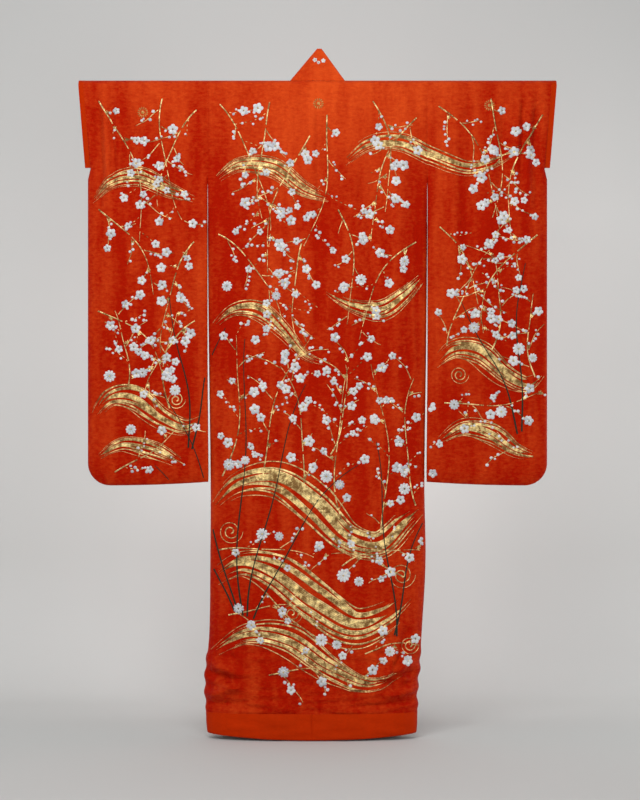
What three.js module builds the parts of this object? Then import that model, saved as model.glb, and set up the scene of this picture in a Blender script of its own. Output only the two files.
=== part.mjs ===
// A furisode kimono, hung by its sleeves and shoulders on a plain round rod.
//
// Frame: millimetres, +Z up, origin at the middle of the rod's axis. +X runs along the rod, and the
// garment's back faces -Y. Seen from behind, the wearer's left is at -X.
//
// Every cloth piece is a sheet: a middle surface worked out from the sizes below, then thickened to a
// closed wall. "drop" is the distance below the rod's axis, and "across" the distance from the garment's
// centre line towards the piece's own side, so a front that laps past the centre has a negative one.
import * as THREE from 'three';

// ---- Driving dimensions ------------------------------------------------------------------------------
const ROD_RADIUS = 15;
const ROD_LENGTH = 1280;
const ROD_SIDES = 16;

const SEAM_GAP = 0.3; // between pieces that are sewn to each other, and between cloth and rod
const SILK_WALL = 2; // face silk, thin wadding and lining together
const COLLAR_WALL = 2.4;
const HEM_WALL = 6; // the wadded band at the foot
const CUFF_WALL = 2.4;

const BODY_DROP = 1704; // where the hem band is sewn on
const HEM_DROP = 1775; // lowest line of the hem band, at the centre back
const HEM_RISE = 14; // how much higher that line lies at the sides
const SIDE_OPENING_DROP = 360; // the side seam is sewn below this and open above it

const NECK_HALF = 74;
const COLLAR_END_DROP = 1000;
const COLLAR_SEAM_SLANT = 0.064; // how far the collar's seam moves inwards for each millimetre down
const COLLAR_EDGE_ACROSS = 30; // the collar's free edge where it crosses the rod's axis
const COLLAR_EDGE_SLANT = 0.1;
const COLLAR_PEAK = { x: 5, y: -2, z: 104 };
const COLLAR_PEAK_HALF = 5;
const COLLAR_PEAK_BACK = { inset: 0.9, y: -0.6, rise: 1 }; // the peak's back half against its front half
const COLLAR_BEND = { y: 24, lift: 0.55 }; // where the free edge swings forward between rod and peak

const FRONT_PANEL_ACROSS = 60; // the seam between the front panel and its overlap panel
const LAP = { start: 20, full: 250, upper: 6, hem: 9 }; // the left front lies this far outside the right one

const SLEEVE_DROP = 1087;
const SLEEVE_EDGE = 626; // the sewn outer edge, from the centre line
const SLEEVE_CORNER = 60;
const SLEEVE_FREE_LIFT = 0.009; // the free inner edge hangs this share shorter
const SLEEVE_INNER_SHARE = 0.25; // the depth changes from its free edge to its middle over this share
const SLEEVE_HOLLOW_DROP = 450; // the free edge stands open to its full depth from here down
const ARMHOLE_DROP = 230;
const WRIST_DROP = 225;
const WRIST_TOP_EDGE = 637;
const WRIST_LOW_EDGE = 620;
const WRIST_STEP = 30; // the drop over which the edge swings out again below the wrist opening
const CUFF_WIDTH = 14;
const CUFF_DROP = 221;
const FREE_EDGE_GAP = { top: 1.5, foot: 7, start: 60 }; // between the sleeve's free edge and the body

// Half the depth of a hollow sleeve, and how far in from a sewn edge the two layers part to reach it.
const SLEEVE_DEPTH = { upper: 14, free: 12, edgeRound: 60, footRound: 70 };

// The middle radius of the cloth where it passes over the rod.
const WRAP = ROD_RADIUS + SEAM_GAP + SILK_WALL / 2;
const WRAP_ANGLES = [0, 22.5, 45, 67.5].map(THREE.MathUtils.degToRad);
const NECK_ROW = 1; // the back neckline follows this row of WRAP_ANGLES
const TOP_LEAN = 0.2; // the seam on top of the rod is cut this much wider, since its edges lean together

const LEFT = -1;
const RIGHT = 1;
const BACK = -1;
const FRONT = 1;

// The body's level sections: centre line, half width, and how far the middle of back and front stand out.
const BODY_SECTIONS = [
  { drop: 0, centre: 0, half: 300, back: WRAP, front: WRAP },
  { drop: 350, centre: 0, half: 299, back: 24, front: 24 },
  { drop: 700, centre: 0, half: 296, back: 30, front: 28 },
  { drop: 1080, centre: 0, half: 291, back: 37, front: 32 },
  { drop: 1300, centre: 1, half: 293, back: 42, front: 36 },
  { drop: 1500, centre: -6, half: 289, back: 48, front: 40 },
  { drop: 1580, centre: -13, half: 292, back: 50, front: 42 },
  { drop: 1640, centre: -17, half: 290, back: 51, front: 43 },
  { drop: 1704, centre: -16, half: 288, back: 51, front: 43 },
  { drop: 1775, centre: -15, half: 285, back: 52, front: 44 },
];

// Soft folds, each a straight ridge (rise > 0) or trough (rise < 0) from one end to the other, in x and
// drop, with its half breadth. A fold swells over its first breadths and fades out past a share of its
// length. The hanging flutes of sleeves and back come first, then the buckles above the hem.
const FOLD_ENDS = { swell: 2, fade: 0.55 };
const SLEEVE_FOLD_DROP = 120; // the sleeve's folds reach their full height here
const SLEEVE_FOLD_MARGIN = 0.125; // and this share of its width in from the free edge
const FRONT_FOLD_SHARE = 0.5; // the fronts hang flatter than the back
const SLEEVE_FOLDS = [
  { x: 360, drop: 120, toX: 372, toDrop: 860, breadth: 26, rise: 4.5 },
  { x: 405, drop: 60, toX: 418, toDrop: 520, breadth: 18, rise: -4 },
  { x: 452, drop: 180, toX: 470, toDrop: 980, breadth: 28, rise: 4 },
  { x: 505, drop: 60, toX: 512, toDrop: 430, breadth: 18, rise: -4 },
  { x: 545, drop: 90, toX: 556, toDrop: 760, breadth: 24, rise: 4.5 },
  { x: 590, drop: 60, toX: 586, toDrop: 330, breadth: 15, rise: -3.5 },
];
const BODY_FOLDS = [
  { x: -232, drop: 160, toX: -222, toDrop: 1050, breadth: 26, rise: 4.5 },
  { x: -168, drop: 90, toX: -176, toDrop: 760, breadth: 20, rise: -4 },
  { x: -96, drop: 140, toX: -108, toDrop: 900, breadth: 24, rise: 3.5 },
  { x: 66, drop: 120, toX: 58, toDrop: 700, breadth: 22, rise: 3.5 },
  { x: 142, drop: 110, toX: 156, toDrop: 980, breadth: 24, rise: -4 },
  { x: 226, drop: 150, toX: 216, toDrop: 1150, breadth: 26, rise: 4.5 },
  { x: -306, drop: 1570, toX: -190, toDrop: 1600, breadth: 13, rise: 7 },
  { x: -306, drop: 1597, toX: -220, toDrop: 1612, breadth: 11, rise: -7 },
  { x: -306, drop: 1660, toX: -196, toDrop: 1622, breadth: 12, rise: 7 },
  { x: -306, drop: 1684, toX: -150, toDrop: 1668, breadth: 11, rise: -5 },
  { x: -130, drop: 1608, toX: -40, toDrop: 1618, breadth: 14, rise: -4 },
  { x: 268, drop: 1560, toX: 150, toDrop: 1618, breadth: 13, rise: 6 },
  { x: 272, drop: 1590, toX: 96, toDrop: 1640, breadth: 12, rise: -6 },
  { x: 272, drop: 1642, toX: 160, toDrop: 1664, breadth: 12, rise: 7 },
  { x: 272, drop: 1672, toX: 60, toDrop: 1690, breadth: 11, rise: -5 },
  { x: 60, drop: 1636, toX: 130, toDrop: 1626, breadth: 13, rise: 4 },
];

// Rows and columns of the grids. The columns crowd towards a rounded edge.
const BODY_DROPS = [
  0, 60, 120, 180, 230, 290, 360, 460, 580, 700, 820, 940, 1060, 1180, 1300, 1400, 1480, 1530, 1555, 1578,
  1600, 1620, 1640, 1660, 1680, 1692, BODY_DROP - SEAM_GAP,
];
const NECK_COLUMNS = [0, 0.5, 1]; // from the centre back to the neck point, as shares of NECK_HALF
const BODY_COLUMNS = [0, 0.13, 0.27, 0.41, 0.55, 0.69, 0.82, 0.92, 0.98, 1];
const SLEEVE_COLUMNS = [0, 0.1, 0.21, 0.33, 0.45, 0.57, 0.69, 0.8, 0.9, 0.97, 1];
const COLLAR_COLUMNS = [0, 0.25, 0.5, 0.75, 1];

// ---- Small helpers -----------------------------------------------------------------------------------
const { lerp, clamp, smoothstep } = THREE.MathUtils;

// One column of a table, read at a drop, with smooth cubic steps between the rows.
function read(table, column, drop) {
  const last = table.length - 1;
  const at = clamp(table.findIndex((row) => row.drop > drop) - 1, -1, last);
  const k = drop >= table[last].drop ? last - 1 : Math.max(0, at);
  const rows = [k - 1, k, k + 1, k + 2].map((i) => table[clamp(i, 0, last)]);
  const t = (drop - rows[1].drop) / (rows[2].drop - rows[1].drop);
  const [a, b, c, d] = rows.map((row) => row[column]);
  const slope = (p, q, from, to) => ((q - p) / (to.drop - from.drop || 1)) * (rows[2].drop - rows[1].drop);
  const slopes = (t ** 3 - 2 * t ** 2 + t) * slope(a, c, rows[0], rows[2]);
  return lerp(b, c, 3 * t ** 2 - 2 * t ** 3) + slopes + (t ** 3 - t ** 2) * slope(b, d, rows[1], rows[3]);
}

// How far the folds of a table lift the cloth outwards at x and drop.
function foldRise(folds, x, drop) {
  let rise = 0;
  for (const fold of folds) {
    const dx = fold.toX - fold.x;
    const dd = fold.toDrop - fold.drop;
    const length = Math.hypot(dx, dd);
    const along = ((x - fold.x) * dx + (drop - fold.drop) * dd) / length;
    const off = ((x - fold.x) * dd - (drop - fold.drop) * dx) / length;
    const swell = smoothstep(along, -fold.breadth, FOLD_ENDS.swell * fold.breadth);
    const fade = 1 - smoothstep(along, FOLD_ENDS.fade * length, length);
    rise += fold.rise * swell * fade * Math.exp(-((off / fold.breadth) ** 2));
  }
  return rise;
}

// A quarter ellipse: 0 at a sewn edge, 1 from the given distance inwards.
const roundUp = (distance, reach) => Math.sqrt(1 - (1 - clamp(distance / reach, 0, 1)) ** 2);

// ---- Surfaces ----------------------------------------------------------------------------------------
// Half the depth at a sewn edge, where two walls lie against each other.
const SEWN_DEPTH = (SILK_WALL + SEAM_GAP) / 2;

// Half the depth at the body's side edges, which close where the side seam starts.
function sideDepth(drop) {
  return Math.max(SEWN_DEPTH, WRAP * (1 - (Math.max(0, drop) / SIDE_OPENING_DROP) ** 2));
}

function lap(drop) {
  return smoothstep(drop, LAP.start, LAP.full) * lerp(LAP.upper, LAP.hem, clamp(drop / HEM_DROP, 0, 1));
}

// The body's middle surface: face is BACK or FRONT, and side tells the two lapping fronts apart.
function bodyPoint(face, side, across, drop) {
  const x = read(BODY_SECTIONS, 'centre', drop) + side * across;
  const middle = read(BODY_SECTIONS, face === BACK ? 'back' : 'front', drop);
  const edge = sideDepth(drop);
  const outer = middle + (face === FRONT && side === LEFT ? lap(drop) : 0);
  const share = clamp(Math.abs(across) / read(BODY_SECTIONS, 'half', drop), 0, 1);
  const swell = (1 - share ** 3) ** lerp(1, 0.5, smoothstep(drop, ARMHOLE_DROP, SIDE_OPENING_DROP));
  const flat = face === BACK ? 1 : FRONT_FOLD_SHARE;
  const fold = foldRise(BODY_FOLDS, face === BACK ? x : -x, drop) * flat * swell;
  return new THREE.Vector3(x, face * (edge + (outer - edge) * swell + fold), -drop);
}

// A point of the cloth where it bends over the rod, at an angle from the top towards a face.
function wrapPoint(x, face, angle) {
  return new THREE.Vector3(x, face * WRAP * Math.sin(angle), WRAP * Math.cos(angle));
}

const collarSeamAcross = (drop) => NECK_HALF - COLLAR_SEAM_SLANT * Math.max(0, drop);
const collarEdgeAcross = (drop) => COLLAR_EDGE_ACROSS - COLLAR_EDGE_SLANT * Math.max(0, drop);

// The sleeve's inner and outer limits, from the centre line.
function sleeveInner(drop) {
  const parted = FREE_EDGE_GAP.top * smoothstep(drop, ARMHOLE_DROP, ARMHOLE_DROP + FREE_EDGE_GAP.start);
  const swung = (FREE_EDGE_GAP.foot - FREE_EDGE_GAP.top) * smoothstep(drop, ARMHOLE_DROP, SLEEVE_DROP);
  return read(BODY_SECTIONS, 'half', Math.max(0, drop)) + SEAM_GAP + parted + swung;
}
function sleeveOuter(drop) {
  if (drop <= WRIST_DROP) return lerp(WRIST_TOP_EDGE, WRIST_LOW_EDGE, clamp(drop / WRIST_DROP, 0, 1));
  const into = Math.max(0, drop - (SLEEVE_DROP - SLEEVE_CORNER));
  const corner = SLEEVE_CORNER - Math.sqrt(Math.max(0, SLEEVE_CORNER ** 2 - into ** 2));
  return lerp(WRIST_LOW_EDGE, SLEEVE_EDGE, smoothstep(drop, WRIST_DROP, WRIST_DROP + WRIST_STEP)) - corner;
}

// Half the sleeve's depth at a share of its width and a drop.
function sleeveDepth(share, drop) {
  const width = sleeveOuter(drop) - sleeveInner(drop);
  const open = Math.sqrt(clamp(1 - drop / WRIST_DROP, 0, 1));
  const middle = lerp(WRAP, SLEEVE_DEPTH.upper, smoothstep(drop, 0, ARMHOLE_DROP));
  const hollow = smoothstep(drop, ARMHOLE_DROP, SLEEVE_HOLLOW_DROP);
  const free = lerp(sideDepth(Math.min(drop, ARMHOLE_DROP)), SLEEVE_DEPTH.free, hollow);
  const across = lerp(free, middle, smoothstep(share, 0, SLEEVE_INNER_SHARE));
  const outerEdge = lerp(roundUp((1 - share) * width, SLEEVE_DEPTH.edgeRound), 1, open);
  return Math.max(SEWN_DEPTH, across * outerEdge * roundUp(SLEEVE_DROP - drop, SLEEVE_DEPTH.footRound));
}

function sleevePoint(face, side, share, drop) {
  const across = lerp(sleeveInner(drop), sleeveOuter(drop), share);
  const depth = sleeveDepth(share, drop);
  const hollow = Math.min(1, (depth - SEWN_DEPTH) / SLEEVE_DEPTH.upper);
  const room = hollow * Math.min(1, share / SLEEVE_FOLD_MARGIN) * smoothstep(drop, 0, SLEEVE_FOLD_DROP);
  const fold = foldRise(SLEEVE_FOLDS, across, drop) * room;
  const z = -drop * (1 - SLEEVE_FREE_LIFT * (1 - share) ** 2);
  return new THREE.Vector3(side * across, face * (depth + fold), z);
}

// ---- Sheets ------------------------------------------------------------------------------------------
// Collects the triangles of a middle surface, welding points that coincide, and thickens them to a wall.
class Sheet {
  constructor() {
    this.points = [];
    this.triangles = [];
    this.known = new Map();
  }

  index(point) {
    const key = point.toArray().map((v) => Math.round(v * 1e3) + 0).join();
    if (!this.known.has(key)) {
      this.known.set(key, this.points.length);
      this.points.push(point);
    }
    return this.known.get(key);
  }

  triangle(a, b, c) {
    if (a !== b && b !== c && c !== a) this.triangles.push([a, b, c]);
  }

  // rows is a grid of points; flip turns its outside round, and keep(row, column) leaves cells out.
  patch(rows, flip, keep = () => true) {
    const grid = rows.map((row) => row.map((point) => this.index(point)));
    for (let k = 0; k + 1 < grid.length; k++) {
      for (let i = 0; i + 1 < grid[k].length; i++) {
        if (!keep(k, i)) continue;
        const [a, b, c, d] = [grid[k][i], grid[k][i + 1], grid[k + 1][i + 1], grid[k + 1][i]];
        if (flip) {
          this.triangle(a, b, c);
          this.triangle(a, c, d);
        } else {
          this.triangle(a, c, b);
          this.triangle(a, d, c);
        }
      }
    }
    return this;
  }

  // Below the rod's axis a cut edge is square to the garment's breadth, so that two pieces meet edge to
  // edge. On a piece that turns round the side, it is only kept level.
  thicken(wall, level = false) {
    const used = [...new Set(this.triangles.flat())];
    const normals = new Map(used.map((i) => [i, new THREE.Vector3()]));
    const edges = new Set();
    for (const [a, b, c] of this.triangles) {
      const [pa, pb, pc] = [a, b, c].map((i) => this.points[i]);
      const normal = pb.clone().sub(pa).cross(pc.clone().sub(pa));
      for (const i of [a, b, c]) normals.get(i).add(normal);
      for (const edge of [[a, b], [b, c], [c, a]]) edges.add(edge.join());
    }
    for (const edge of edges) {
      const [p, q] = edge.split(',').map(Number);
      if (edges.has([q, p].join()) || this.points[p].z > 0) continue;
      for (const i of [p, q]) {
        const normal = normals.get(i);
        if (level) normal.z = 0;
        else normal.set(0, Math.sign(normal.y), 0);
      }
    }
    const outside = new Map(used.map((i, at) => [i, at]));
    const inside = new Map(used.map((i, at) => [i, at + used.length]));
    const shifted = (by) =>
      used.flatMap((i) => this.points[i].clone().addScaledVector(normals.get(i).normalize(), by).toArray());
    const index = [];
    for (const [a, b, c] of this.triangles) {
      index.push(outside.get(a), outside.get(b), outside.get(c));
      index.push(inside.get(a), inside.get(c), inside.get(b));
      for (const [p, q] of [[a, b], [b, c], [c, a]]) {
        if (edges.has([q, p].join())) continue;
        index.push(outside.get(p), inside.get(p), inside.get(q));
        index.push(outside.get(p), inside.get(q), outside.get(q));
      }
    }
    const geometry = new THREE.BufferGeometry();
    const positions = [...shifted(wall / 2), ...shifted(-wall / 2)];
    geometry.setAttribute('position', new THREE.Float32BufferAttribute(positions, 3));
    geometry.setIndex(index);
    return geometry;
  }
}

// ---- Pieces ------------------------------------------------------------------------------------------
// Body and sleeves run over the rod from back to front. Their layers part on top of it, and meet again in
// the side seams below the side opening.
function overTheRod(x, face) {
  const angles = [(SEAM_GAP / 2 + TOP_LEAN) / WRAP, ...WRAP_ANGLES.slice(1)];
  return angles.map((angle) => x.map((across) => wrapPoint(across, face, angle)));
}

function backPanel(side) {
  const acrossAt = (drop) => {
    const neck = NECK_COLUMNS.slice(0, -1).map((share) => Math.max(SEAM_GAP / 2, share * NECK_HALF));
    const edge = read(BODY_SECTIONS, 'half', drop);
    return [...neck, ...BODY_COLUMNS.map((share) => lerp(NECK_HALF, edge, share))];
  };
  const rows = [
    ...overTheRod(acrossAt(0).map((across) => side * across), BACK),
    ...BODY_DROPS.map((drop) => acrossAt(drop).map((across) => bodyPoint(BACK, side, across, drop))),
  ];
  const neckCut = (k, i) => k >= NECK_ROW || i >= NECK_COLUMNS.length - 1;
  return new Sheet().patch(rows, side === LEFT, neckCut).thicken(SILK_WALL);
}

function frontPanel(side) {
  const acrossAt = (drop) => {
    const inner = Math.max(FRONT_PANEL_ACROSS, collarSeamAcross(drop));
    const edge = read(BODY_SECTIONS, 'half', drop);
    return BODY_COLUMNS.map((share) => lerp(inner, edge, share));
  };
  const rows = [
    ...overTheRod(acrossAt(0).map((across) => side * across), FRONT),
    ...BODY_DROPS.map((drop) => acrossAt(drop).map((across) => bodyPoint(FRONT, side, across, drop))),
  ];
  return new Sheet().patch(rows, side === RIGHT).thicken(SILK_WALL);
}

// The overlap panel widens the front past the centre. Above the collar's end it stops at the collar's seam.
function overlapPanel(side) {
  const topDrop = (NECK_HALF - FRONT_PANEL_ACROSS) / COLLAR_SEAM_SLANT;
  const below = BODY_DROPS.filter((drop) => drop > COLLAR_END_DROP);
  const drops = [topDrop, 300, 400, 520, 640, 760, 880, COLLAR_END_DROP, ...below];
  const seam = FRONT_PANEL_ACROSS - SEAM_GAP;
  const inner = [0, 0.5, 1];
  const outer = [0.25, 0.5, 0.75, 1];
  const rows = drops.map((drop) => {
    const stop = Math.min(seam, collarSeamAcross(Math.min(drop, COLLAR_END_DROP)));
    const edge = collarEdgeAcross(COLLAR_END_DROP);
    const acrosses = [...inner.map((t) => lerp(seam, stop, t)), ...outer.map((t) => lerp(stop, edge, t))];
    return acrosses.map((across) => bodyPoint(FRONT, side, across, drop));
  });
  const belowCollar = (k, i) => drops[k] >= COLLAR_END_DROP || i < inner.length - 1;
  return new Sheet().patch(rows, side === LEFT, belowCollar).thicken(SILK_WALL);
}

// The collar is one long band: up the left front, round the neck to a peak behind it, down the right front.
function collarBand() {
  const frontDrops = [COLLAR_END_DROP - SEAM_GAP, 880, 760, 640, 520, 400, 300, 220, 150, 90, 45, 0];
  const behind = COLLAR_PEAK.y + COLLAR_PEAK_BACK.y;
  const edgeAt = (side, t) => {
    const start = bodyPoint(FRONT, side, COLLAR_EDGE_ACROSS, 0);
    const end = new THREE.Vector3(COLLAR_PEAK.x + side * COLLAR_PEAK_HALF, COLLAR_PEAK.y, COLLAR_PEAK.z);
    const bendHeight = COLLAR_PEAK.z * COLLAR_BEND.lift;
    const bend = new THREE.Vector3(side * COLLAR_EDGE_ACROSS, COLLAR_BEND.y, bendHeight);
    return new THREE.QuadraticBezierCurve3(start, bend, end).getPoint(t);
  };
  const ruled = (seam, edge) => {
    const up = edge.clone().sub(seam).normalize();
    const start = seam.clone().addScaledVector(up, COLLAR_WALL / 2 + SEAM_GAP);
    return COLLAR_COLUMNS.map((t) => start.clone().lerp(edge, t));
  };
  const half = (side) => {
    const rows = frontDrops.map((drop) =>
      COLLAR_COLUMNS.map((t) => {
        const across = lerp(collarSeamAcross(drop) - SEAM_GAP, collarEdgeAcross(drop), t);
        return bodyPoint(FRONT, side, across, drop);
      }),
    );
    const neckX = side * (NECK_HALF - SEAM_GAP);
    const angles = [...WRAP_ANGLES].reverse();
    angles.forEach((angle, i) => {
      rows.push(ruled(wrapPoint(neckX, FRONT, angle), edgeAt(side, (i + 1) / angles.length)));
    });
    for (const share of [1, 0.75, 0.5, 0.25]) {
      const seam = wrapPoint(neckX * share, BACK, WRAP_ANGLES[NECK_ROW]);
      const edgeX = COLLAR_PEAK.x + side * COLLAR_PEAK_HALF * COLLAR_PEAK_BACK.inset * share;
      rows.push(ruled(seam, new THREE.Vector3(edgeX, behind, COLLAR_PEAK.z)));
    }
    return rows;
  };
  const peak = new THREE.Vector3(COLLAR_PEAK.x, behind, COLLAR_PEAK.z + COLLAR_PEAK_BACK.rise);
  const middle = ruled(wrapPoint(0, BACK, WRAP_ANGLES[NECK_ROW]), peak);
  return new Sheet().patch([...half(LEFT), middle, ...half(RIGHT).reverse()], false).thicken(COLLAR_WALL);
}

// The two layers of a sleeve are sewn together below the wrist opening and round the foot. The inner edge
// is sewn to the body at the armhole only, and hangs open below.
function sleeveLayer(side, face) {
  const cornerTop = SLEEVE_DROP - SLEEVE_CORNER;
  const turns = [0, 20, 40, 58, 74, 90].map(THREE.MathUtils.degToRad);
  const cornerDrops = turns.map((turn) => cornerTop + SLEEVE_CORNER * Math.sin(turn));
  const drops = [0, 45, 90, 135, 180, WRIST_DROP, 290, 370, 460, 560, 660, 760, 860, 950, ...cornerDrops];
  const top = SLEEVE_COLUMNS.map((share) => side * lerp(sleeveInner(0), sleeveOuter(0), share));
  const rows = [
    ...overTheRod(top, face),
    ...drops.map((drop) => SLEEVE_COLUMNS.map((share) => sleevePoint(face, side, share, drop))),
  ];
  return new Sheet().patch(rows, side === face).thicken(SILK_WALL);
}

// The wrist opening is bound with a narrow strip: up one layer, over the rod's end and down the other.
function cuffBinding(side) {
  const drops = [0, 45, 90, 135, 180, CUFF_DROP];
  const acrosses = (drop) => [sleeveOuter(drop) + SEAM_GAP, sleeveOuter(drop) + CUFF_WIDTH];
  const rows = (face) => [
    ...WRAP_ANGLES.map((angle) => acrosses(0).map((across) => wrapPoint(side * across, face, angle))),
    ...drops.map((drop) => {
      const depth = sleevePoint(face, side, 1, drop).y;
      return acrosses(drop).map((across) => new THREE.Vector3(side * across, depth, -drop));
    }),
  ];
  return new Sheet().patch(rows(BACK), side === LEFT).patch(rows(FRONT), side === RIGHT).thicken(CUFF_WALL);
}

// The wadded band below the body, from the centre back round the side to the front edge.
function hemBand(side) {
  const half = SEAM_GAP / 2;
  const edge = collarEdgeAcross(COLLAR_END_DROP);
  const shares = [0.1, 0.25, 0.42, 0.58, 0.73, 0.85, 0.93, 0.98, 1];
  const levels = [0, 0.4, 0.8, 1];
  const rows = levels.map((level) => {
    const at = (face, across) => {
      const share = Math.abs(across) / read(BODY_SECTIONS, 'half', BODY_DROP);
      const foot = HEM_DROP - HEM_RISE * share ** 2;
      return bodyPoint(face, side, across, lerp(BODY_DROP, foot, level));
    };
    const width = read(BODY_SECTIONS, 'half', BODY_DROP);
    const back = [half, ...shares.map((t) => t * width)].map((across) => at(BACK, across));
    const front = shares.slice(0, -1).reverse().map((t) => at(FRONT, t * width));
    const over = [0, edge / 2, edge].map((across) => at(FRONT, across));
    return [...back, ...front, ...over];
  });
  return new Sheet().patch(rows, side === LEFT).thicken(HEM_WALL, true);
}

// ---- The garment -------------------------------------------------------------------------------------
const redSilk = () => new THREE.MeshStandardMaterial({ color: 0xbe2d10, roughness: 0.62, metalness: 0 });
const plainSilk = () => new THREE.MeshStandardMaterial({ color: 0xa82a0c, roughness: 0.55, metalness: 0 });
const lacquer = () => new THREE.MeshStandardMaterial({ color: 0x1c1310, roughness: 0.3, metalness: 0 });

const garment = new THREE.Group();
function add(name, geometry, material) {
  const mesh = new THREE.Mesh(geometry, material);
  mesh.name = name;
  garment.add(mesh);
  return mesh;
}

const rod = add('rod', new THREE.CylinderGeometry(ROD_RADIUS, ROD_RADIUS, ROD_LENGTH, ROD_SIDES), lacquer());
rod.rotation.z = Math.PI / 2; // laid along X, with a corner of its section at the top
for (const [side, hand] of [[LEFT, 'left'], [RIGHT, 'right']]) {
  add(`back_${hand}`, backPanel(side), redSilk());
  add(`front_${hand}`, frontPanel(side), redSilk());
  add(`overlap_${hand}`, overlapPanel(side), redSilk());
  add(`sleeve_${hand}_back`, sleeveLayer(side, BACK), redSilk());
  add(`sleeve_${hand}_front`, sleeveLayer(side, FRONT), redSilk());
  add(`cuff_${hand}`, cuffBinding(side), plainSilk());
  add(`hem_${hand}`, hemBand(side), plainSilk());
}
add('collar', collarBand(), redSilk());

export default garment;
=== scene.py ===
"""A furisode kimono hung on a display rod: silk sheets, wadded hem and raised embroidery."""

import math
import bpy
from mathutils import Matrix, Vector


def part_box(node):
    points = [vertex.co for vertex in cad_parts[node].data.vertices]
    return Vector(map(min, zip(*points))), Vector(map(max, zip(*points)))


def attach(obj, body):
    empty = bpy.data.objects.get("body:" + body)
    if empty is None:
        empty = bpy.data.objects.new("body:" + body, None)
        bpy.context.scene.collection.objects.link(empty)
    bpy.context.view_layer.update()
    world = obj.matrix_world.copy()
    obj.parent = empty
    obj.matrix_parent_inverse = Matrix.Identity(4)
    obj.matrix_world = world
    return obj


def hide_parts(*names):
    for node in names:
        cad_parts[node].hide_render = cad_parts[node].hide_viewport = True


bl_info = {
    "name": "Furisode Kimono",
    "version": (1, 0, 0),
    "blender": (4, 5, 0),
    "location": "View3D > Sidebar > Kimono",
    "description": "Builds a long-sleeved kimono on its rod, embroidered in gold thread and floss",
    "category": "Object",
}

import bpy
import numpy as np
from mathutils import Vector

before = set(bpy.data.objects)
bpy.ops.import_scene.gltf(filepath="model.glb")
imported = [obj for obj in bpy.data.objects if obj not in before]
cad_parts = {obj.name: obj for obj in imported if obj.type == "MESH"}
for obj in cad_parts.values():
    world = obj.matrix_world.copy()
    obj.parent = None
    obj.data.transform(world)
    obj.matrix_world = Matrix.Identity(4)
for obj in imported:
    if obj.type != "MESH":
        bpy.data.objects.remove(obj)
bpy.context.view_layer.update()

# Lengths below are in millimetres in the frame's own axes, and drop is the distance below the rod's axis.
MM = 0.001
BACK, FRONT = -1, 1
LEFT, RIGHT = -1, 1
HANDS = {LEFT: "left", RIGHT: "right"}


def low(node):
    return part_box(node)[0] / MM


def high(node):
    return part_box(node)[1] / MM


def table(columns, rows):
    """Rows of numbers whose columns have names."""
    return np.array(rows, dtype=[(name, float) for name in columns.split()])


# ---- Sizes -----------------------------------------------------------------------------------------------
ROD_RADIUS = high("rod").z
ROD_HALF = high("rod").x
ROD_GAP = 0.3
SEAM_GAP = 0.06
SILK_WALL = 2.0
COLLAR_WALL = 2.4
CUFF_WALL = 2.4
WRAP = ROD_RADIUS + ROD_GAP + SILK_WALL / 2

BODY_DROP = round(-low("back_left").z)
HEM_DROP = round(-low("hem_left").z)
HEM_RISE = 14
HEM_HALF, HEM_HALF_TOP, HEM_FULL_SHARE = 5.0, 1.3, 0.75
HEM_LEVELS = np.linspace(0, 1, 9)
HEM_SEAM_DIP, HEM_SEAM_STATIONS = 0.6, (1.5, 3, 5, 8)
SIDE_OPENING_DROP = 360
NECK_HALF = 74
COLLAR_END_DROP = 1000
COLLAR_SEAM_SLANT = 0.064
COLLAR_EDGE_ACROSS = 30
COLLAR_EDGE_SLANT = 0.1
COLLAR_PEAK = np.array([5.0, -2.0, 104.0])
COLLAR_PEAK_HALF, COLLAR_PEAK_BACK = 5, 0.6
COLLAR_FOOT = 15
COLLAR_BULGE, COLLAR_BEND_SHARE, COLLAR_BEHIND_SHARE = 24, 0.55, 0.9
FRONT_PANEL_ACROSS = 60
LAP_START, LAP_FULL, LAP_UPPER, LAP_HEM = 20, 250, 6, 9
SLEEVE_DROP = 1087
SLEEVE_EDGE = 626
SLEEVE_CORNER = 60
SLEEVE_FREE_LIFT = 0.009
ARMHOLE_DROP = 230
WRIST_DROP = 225
WRIST_TOP_EDGE = 637
WRIST_LOW_EDGE = 620
CUFF_WIDTH = 14
CUFF_DROP = 221
WRIST_EASE = 30
FREE_EDGE_TOP, FREE_EDGE_FOOT, FREE_EDGE_PARTED = 1.5, 7, 60
DEPTH_UPPER, DEPTH_FREE, DEPTH_FREE_DROP, EDGE_ROUND, FOOT_ROUND = 14, 12, 450, 60, 70
INNER_SHARE, SMALL_FOLD_SHARE = 0.25, 1 / 8

# Level sections of the body: its centre line, half width, and how far back and front stand out.
BODY_SECTIONS = table("drop centre half back front", [
    (0, 0, 300, WRAP, WRAP), (350, 0, 299, 24, 24), (700, 0, 296, 30, 28), (1080, 0, 291, 37, 32),
    (1300, 1, 293, 42, 36), (1500, -6, 289, 48, 40), (1580, -13, 292, 50, 42), (1640, -17, 290, 51, 43),
    (1704, -16, 288, 51, 43), (1775, -15, 285, 52, 44),
])

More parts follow.
